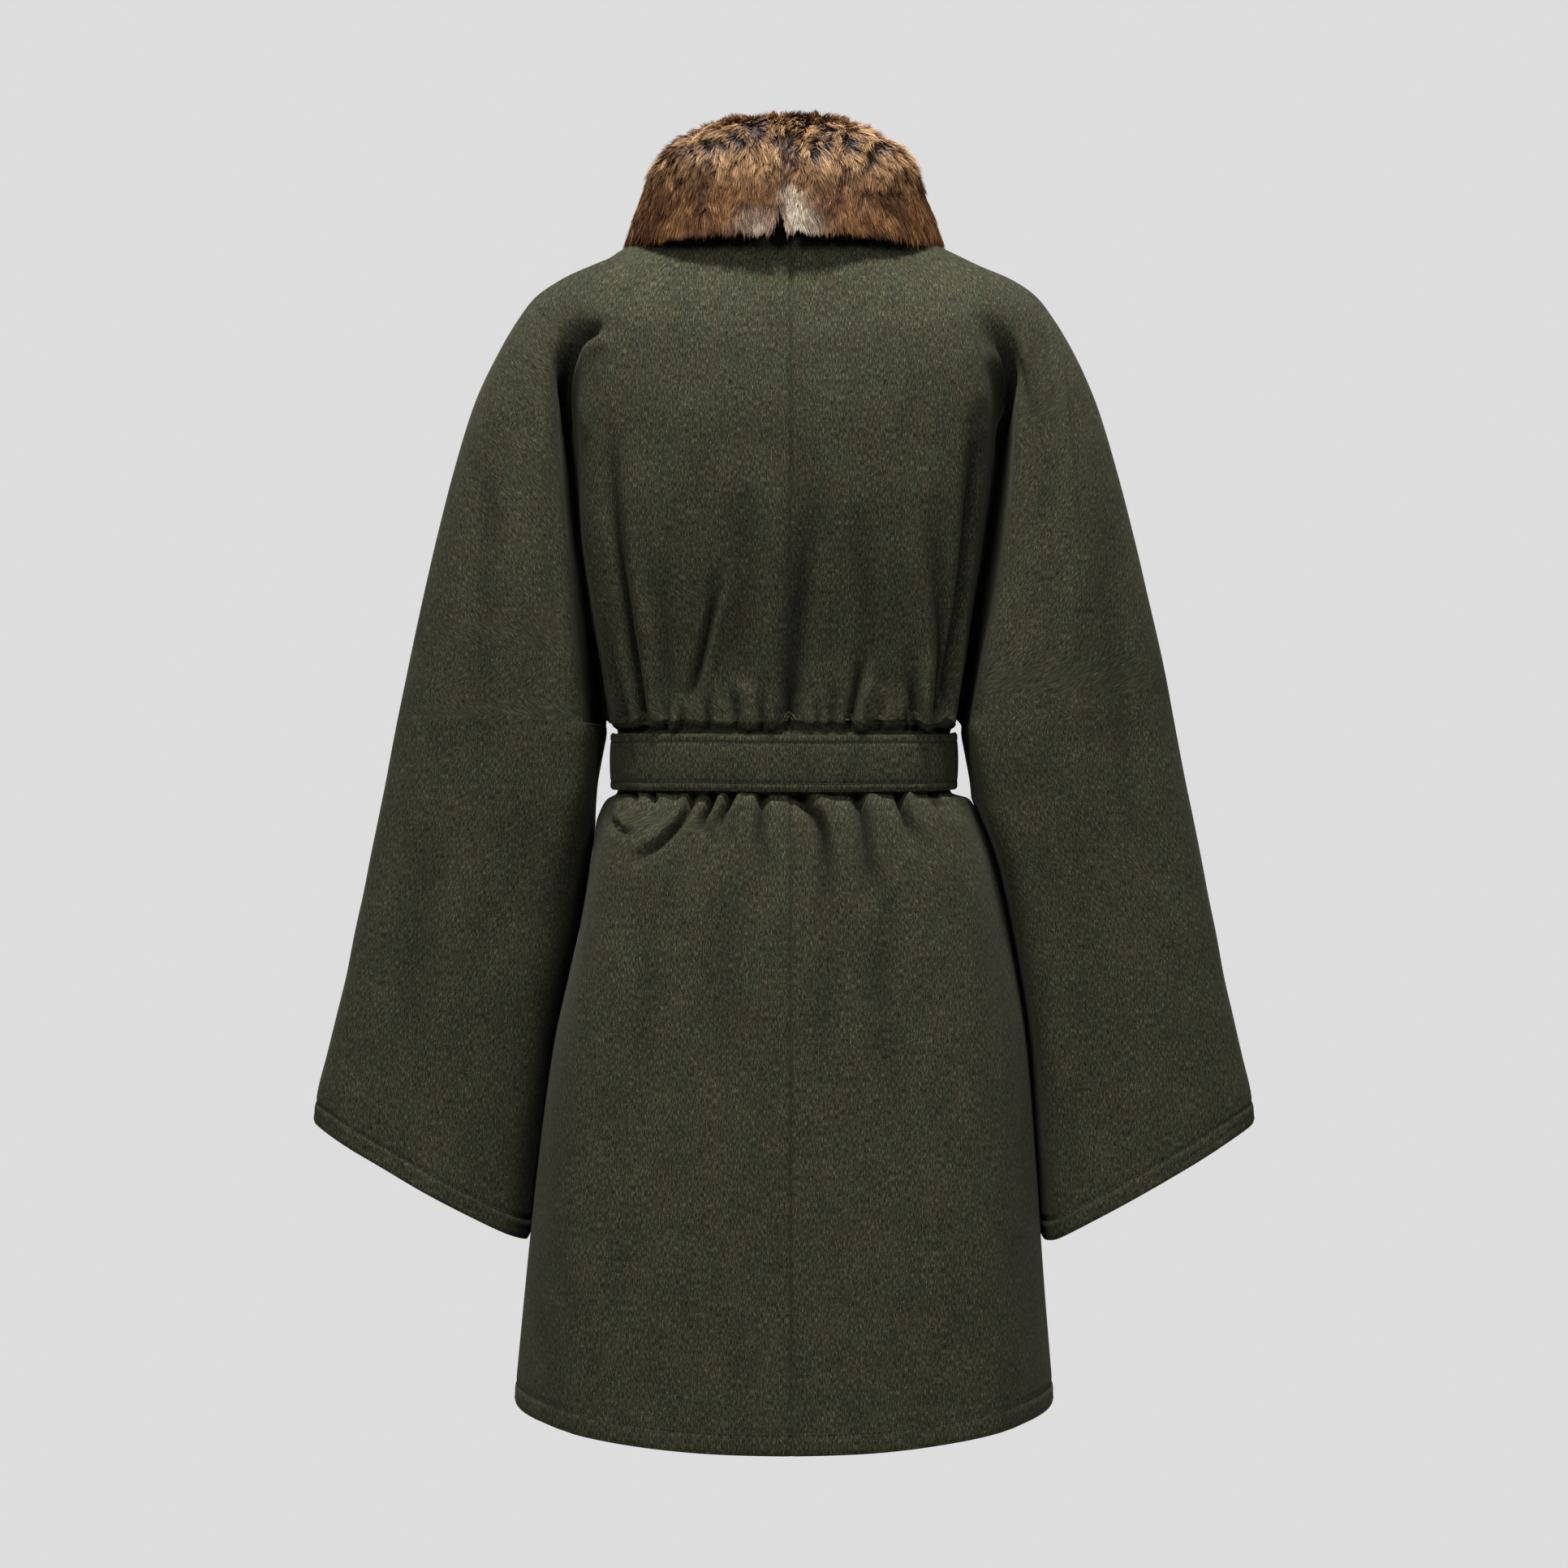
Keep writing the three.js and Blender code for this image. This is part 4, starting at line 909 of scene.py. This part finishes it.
def make_hair(name, side, count, length, width, material):
    """Hair of one collar half as a joined mesh of tapered ribbons, in tufts."""
    middle, face, nap = collar_half(side, np.linspace(-side * SPLIT, 1, 260), 70)
    columns = middle.shape[1]
    step_t = np.linalg.norm(np.diff(middle, axis=0), axis=2)[:, 1:]
    step_s = np.linalg.norm(np.diff(middle, axis=1), axis=2)[1:]
    weight = np.where(np.arange(columns - 1) < 0.3 * columns, 0.45, 1.0)
    chance = (step_t * step_s * weight).ravel()
    chance /= chance.sum()

    def pick(amount):
        cell = RNG.choice(len(chance), amount, p=chance)
        i, j = cell // (columns - 1), cell % (columns - 1)
        ft, fs = RNG.random((amount, 1)), RNG.random((amount, 1))

        def at(grid):
            return ((grid[i, j] * (1 - ft) + grid[i + 1, j] * ft) * (1 - fs)
                    + (grid[i, j + 1] * (1 - ft) + grid[i + 1, j + 1] * ft) * fs)
        return at(middle), at(face), at(nap), (j + fs[:, 0]) / (columns - 1)

    def grow(amount, jitter):
        place, out, along, s = pick(amount)
        root = place + out * SKIN_HALF * 0.8
        seen = seen_from_behind(root)
        parted, push = parting_strength(seen, root)
        shaggy = smooth_step(46, 74, seen[:, 1])
        beside = np.cross(along, out)
        sway = 1.4 * swirl(root, 15, 4) * (0.6 + 0.4 * shaggy) + RNG.normal(0, jitter, amount)
        flow = along + beside * sway[:, None]
        flow[:, 0] += side * 0.25 * bell(seen[:, 0] - SPLIT_X, 9) * smooth_step(40, 20, seen[:, 1])
        flow[:, 0] += push[:, 0]
        flow[:, 2] += push[:, 1]
        flow -= out * np.einsum("ij,ij->i", flow, out)[:, None]
        flow = unit(flow)
        low = smooth_step(0.78, 1.0, s)
        end = bell(np.abs(seen[:, 0]) - 114, 17) * (root[:, 1] < 25)
        rise = np.radians(22 + 22 * shaggy - 15 * low + RNG.normal(0, 7, amount))
        flank = smooth_step(70, 100, np.abs(seen[:, 0]))
        rise *= 1 - 0.45 * flank * smooth_step(20, 40, seen[:, 1])
        tail = length * (0.9 + 0.4 * shaggy) * RNG.uniform(0.7, 1.15, amount)
        tail *= (1 - 0.3 * parted) * (1 - 0.02 * low + 0.5 * low * end)
        share = np.array([0, 0.36, 0.7, 1.0])
        lift = np.sin(rise)[:, None] * (share - 0.36 * share ** 2)
        run = np.cos(rise)[:, None] * share
        points = (root[:, None] + (tail[:, None] * run)[..., None] * flow[:, None]
                  + (tail[:, None] * lift)[..., None] * out[:, None])
        points[..., 2] -= (tail * (0.08 + 0.3 * low * end))[:, None] * share ** 2
        return points, out, seen, parted, shaggy

    centres = grow(int(count / 34), 0.25)[0]
    points, out, seen, parted, shaggy = grow(count, 0.12)
    tufts = nearest(points[:, 0], centres[:, 0])
    bind = np.array([0, 0.15, 0.5, 0.8])[None] * RNG.uniform(0.5, 1, (count, 1))
    bind = bind * (0.45 + 0.45 * shaggy[:, None])
    points = points + (centres[tufts] - points) * bind[..., None]
    half_width = 0.4 + 7 * smooth_step(30, 4, seen[:, 1])
    notch = (seen[:, 1] < 30) & (points[:, 0, 1] < 0)
    keep = ~(notch & (np.abs(seen[:, 0] - SPLIT_X) < half_width))
    points, out, seen, parted = points[keep], out[keep], seen[keep], parted[keep]

    count = len(points)
    along = points[:, -1] - points[:, 0]
    flat = unit(np.cross(along, out))
    flat += out * RNG.normal(0, 0.4, (count, 1))
    wide = width * RNG.uniform(0.7, 1.3, (count, 1)) / 2
    verts = np.zeros((count, 7, 3))
    for k, share in enumerate((0.8, 1.0, 0.62)):
        verts[:, 2 * k] = points[:, k] - flat * wide * share
        verts[:, 2 * k + 1] = points[:, k] + flat * wide * share
    verts[:, 6] = points[:, 3]
    base = np.arange(count)[:, None] * 7
    tris = [(0, 1, 3), (0, 3, 2), (2, 3, 5), (2, 5, 4), (4, 5, 6)]
    faces = np.concatenate([base + np.array(t) for t in tris])
    body, tip = fur_tints(points[:, 0], seen, parted)
    colour = np.ones((count, 7, 4))
    colour[:, 0:2, :3] = (body * 0.7)[:, None]
    colour[:, 2:4, :3] = body[:, None]
    colour[:, 4:6, :3] = (0.35 * body + 0.65 * tip)[:, None]
    colour[:, 6, :3] = tip
    return make_object(name, verts.reshape(-1, 3), faces, material=material,
                       colour=colour.reshape(-1, 4))


def nearest(points, centres):
    """Index of the nearest centre for each point."""
    tree = kdtree.KDTree(len(centres))
    for i, c in enumerate(centres):
        tree.insert(c, i)
    tree.balance()
    return np.array([tree.find(p)[1] for p in points])


# ---- materials ----
def set_inputs(tree, node, inputs):
    """Gives each input its value, or joins it to an output."""
    for key, value in inputs.items():
        if isinstance(value, bpy.types.NodeSocket):
            tree.links.new(value, node.inputs[key])
        else:
            node.inputs[key].default_value = value


def add_node(tree, kind, inputs, **settings):
    made = tree.nodes.new("ShaderNode" + kind)
    for key, value in settings.items():
        setattr(made, key, value)
    set_inputs(tree, made, inputs)
    return made


def new_material(name, colour, rough):
    made = bpy.data.materials.new(name)
    made.use_nodes = True
    made.diffuse_color = (*colour, 1)
    set_shader(made, {"Base Color": (*colour, 1), "Roughness": rough})
    return made


def set_shader(made, inputs):
    set_inputs(made.node_tree, made.node_tree.nodes["Principled BSDF"], inputs)


def grain_noise(tree, source, stretch, detail, rough):
    place = add_node(tree, "Mapping", {"Scale": (*stretch, 1), "Vector": source})
    return add_node(tree, "TexNoise", {"Scale": 1.0, "Detail": detail, "Roughness": rough,
                                       "Vector": place.outputs["Vector"]}).outputs["Fac"]


def ramp(tree, source, stops):
    """Colour by place; a single number is a grey."""
    made = add_node(tree, "ValToRGB", {"Fac": source})
    while len(made.color_ramp.elements) < len(stops):
        made.color_ramp.elements.new(0.5)
    for element, (place, colour) in zip(made.color_ramp.elements, stops):
        element.position = place
        element.color = (*np.full(3, colour, float), 1)
    return made.outputs["Color"]


def mix_colours(tree, kind, factor, a, b):
    return add_node(tree, "Mix", {"Factor": factor, "A": a, "B": b}, data_type="RGBA",
                    blend_type=kind).outputs["Result"]


def tint_and_shade_layer(tree):
    return add_node(tree, "VertexColor", {}, layer_name="tint_and_painted_shade").outputs["Color"]


def loden_material(name, gain=1.0):
    """Melange of olive and brown fibres with pale flecks, combed down into a short nap."""
    made = new_material(name, (0.04, 0.041, 0.025), 0.92)
    tree = made.node_tree
    grain = add_node(tree, "TexCoord", {}).outputs["UV"]
    fibre, streak, blotch, hue, fleck = (grain_noise(tree, grain, *values) for values in (
        ((1500, 260), 3, 0.75), ((420, 75), 2, 0.6), ((46, 20), 2, 0.5), ((60, 34), 3, 0.6),
        ((900, 330), 1, 0.5)))
    colour = ramp(tree, fibre, [(place, np.multiply(gain, fibres)) for place, fibres in (
        (0.28, (0.006, 0.0065, 0.0030)), (0.43, (0.022, 0.023, 0.0125)),
        (0.55, (0.060, 0.061, 0.037)), (0.72, (0.205, 0.196, 0.138)))])
    for source, stops in ((hue, [(0.36, (0.93, 1.0, 0.93)), (0.64, (1.07, 0.99, 0.92))]),
                          (blotch, [(0.3, 0.86), (0.7, 1.14)]),
                          (streak, [(0.3, 0.74), (0.7, 1.26)])):
        colour = mix_colours(tree, "MULTIPLY", 1.0, colour, ramp(tree, source, stops))
    straw = add_node(tree, "RGB", {}).outputs[0]
    straw.default_value = (0.19 * gain, 0.18 * gain, 0.13 * gain, 1)
    pale = ramp(tree, fleck, [(0.66, 0), (0.74, 0.6)])
    colour = mix_colours(tree, "MIX", pale, colour, straw)
    # painted shade: the colour attribute darkens the cloth in creases, hollows and above the belt
    colour = mix_colours(tree, "MULTIPLY", 1.0, colour, tint_and_shade_layer(tree))
    height = add_node(tree, "Math", {0: fibre, 1: streak}, operation="ADD").outputs[0]
    bump = add_node(tree, "Bump", {"Strength": 0.4, "Distance": 0.0006, "Height": height})
    set_shader(made, {"Base Color": colour, "Normal": bump.outputs["Normal"],
                      "Specular IOR Level": 0.1, "Sheen Weight": 0.06, "Sheen Roughness": 0.5,
                      "Sheen Tint": (0.60, 0.59, 0.44, 1)})
    return made


def hair_material(name):
    made = new_material(name, (0.16, 0.1, 0.06), 0.5)
    set_shader(made, {"Base Color": tint_and_shade_layer(made.node_tree), "Specular IOR Level": 0.1})
    return made


# ---- studio ----
FLOOR_LEVEL = -1.5
WALL_TONE, WORLD_GLOW = 0.723, 0.03


def add_light(name, place, target, size, power):
    data = bpy.data.lights.new(name, "AREA")
    data.shape, data.size, data.size_y = "RECTANGLE", size[0], size[1]
    data.energy = power
    light = bpy.data.objects.new(name, data)
    bpy.context.scene.collection.objects.link(light)
    light.location = place
    light.rotation_euler = (Vector(target) - Vector(place)).to_track_quat("-Z", "Y").to_euler()


def make_studio():
    floor = new_material("pale_floor", (0.6, 0.6, 0.6), 1.0)
    corners = [(x, y, FLOOR_LEVEL / MM) for x, y in ((-9000, -9000), (9000, -9000), (9000, 1600),
                                                     (-9000, 1600))]
    make_object("studio_floor", corners, [(0, 1, 2, 3)], material=floor)
    # a pale wall all round for the eye, a dim one for the light it gives
    world = bpy.data.worlds.new("studio")
    bpy.context.scene.world = world
    world.use_nodes = True
    tree = world.node_tree
    glow, wall = tree.nodes["Background"], add_node(tree, "Background", {})
    for node, value in ((glow, WORLD_GLOW), (wall, WALL_TONE)):
        set_inputs(tree, node, {"Color": (value, value, value, 1), "Strength": 1})
    chooser = add_node(tree, "MixShader", {
        "Fac": add_node(tree, "LightPath", {}).outputs["Is Camera Ray"],
        1: glow.outputs["Background"], 2: wall.outputs["Background"]})
    set_inputs(tree, tree.nodes["World Output"], {"Surface": chooser.outputs["Shader"]})
    add_light("key_left", (-1.15, -2.6, 1.3), (0, 0, -0.35), (0.7, 0.8), 48)
    add_light("key_right", (1.25, -2.6, 1.3), (0, 0, -0.35), (0.7, 0.8), 31)
    add_light("top", (0, -0.6, 1.8), (0, 0, -0.1), (0.5, 0.35), 100)
    add_light("behind", (0, 3.0, 0.7), (0, 0, -0.4), (1.4, 1.0), 26)
    view = bpy.context.scene.view_settings
    view.view_transform = "Standard"
    view.look = "None"
    view.exposure, view.gamma = 0, 1
    data = bpy.data.cameras.new("camera")
    data.sensor_width = 36
    data.lens = 36 * CAMERA_DISTANCE / FRAME_WIDTH
    data.clip_end = 60
    camera = bpy.data.objects.new("camera", data)
    bpy.context.scene.collection.objects.link(camera)
    camera.location = (0, -CAMERA_DISTANCE * MM, CAMERA_HEIGHT * MM)
    camera.rotation_euler = (math.pi / 2, 0, 0)
    bpy.context.scene.camera = camera


# ---- build ----
loden = loden_material("loden_wool", 0.56)
loden_belt = loden_material("loden_belt", 0.51)
thread = new_material("dark_thread", (0.012, 0.013, 0.009), 0.8)
pelt = new_material("pelt", (0.045, 0.030, 0.022), 0.9)
hair = hair_material("fur_hair")

BACK_STRIPS, FRONT_STRIPS = (76, 16, 16, 62), (44, 8, 8, 34)
PANELS = [
    ("back_left", -1, False, BACK_STRIPS, 1.0, BACK_FOLDS, (0.593, 0.915), 0.376),
    ("back_right", 1, False, BACK_STRIPS, 1.0, BACK_FOLDS, (0.590, 0.915), 0.370),
    ("front_left", -1, True, FRONT_STRIPS, 0.6, FRONT_FOLDS, (0.632, 0.905), 0.404),
    ("front_right", 1, True, FRONT_STRIPS, 0.6, FRONT_FOLDS, (0.639, 0.905), 0.408),
]
for node, side, front, strips, share, folds, flat, area in PANELS:
    piece, lines = make_panel(node + "_cloth", side, front, strips, share, folds, loden)
    stitches = make_stitches(node + "_stitches", lines, 2.6, 3.8, 0.45, thread)
    for made in (piece, stitches):
        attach(made, "root")
    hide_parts(node)

under = make_under_collar(loden)
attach(under, "root")
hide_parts("under_collar")

belt, belt_threads = make_belt(loden_belt, thread)
for made in (belt, belt_threads):
    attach(made, "root")
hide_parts("belt")

HAIRS = 28000
for node, side in (("fur_collar_left", -1), ("fur_collar_right", 1)):
    skin = make_fur_skin(node + "_pelt", side, pelt)
    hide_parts(node)
    for made in (skin,
                 make_hair(node + "_under_hair", side, HAIRS, 11.0, 0.75, hair),
                 make_hair(node + "_guard_hair", side, HAIRS, 14.0, 0.45, hair)):
        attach(made, "root")

make_studio()
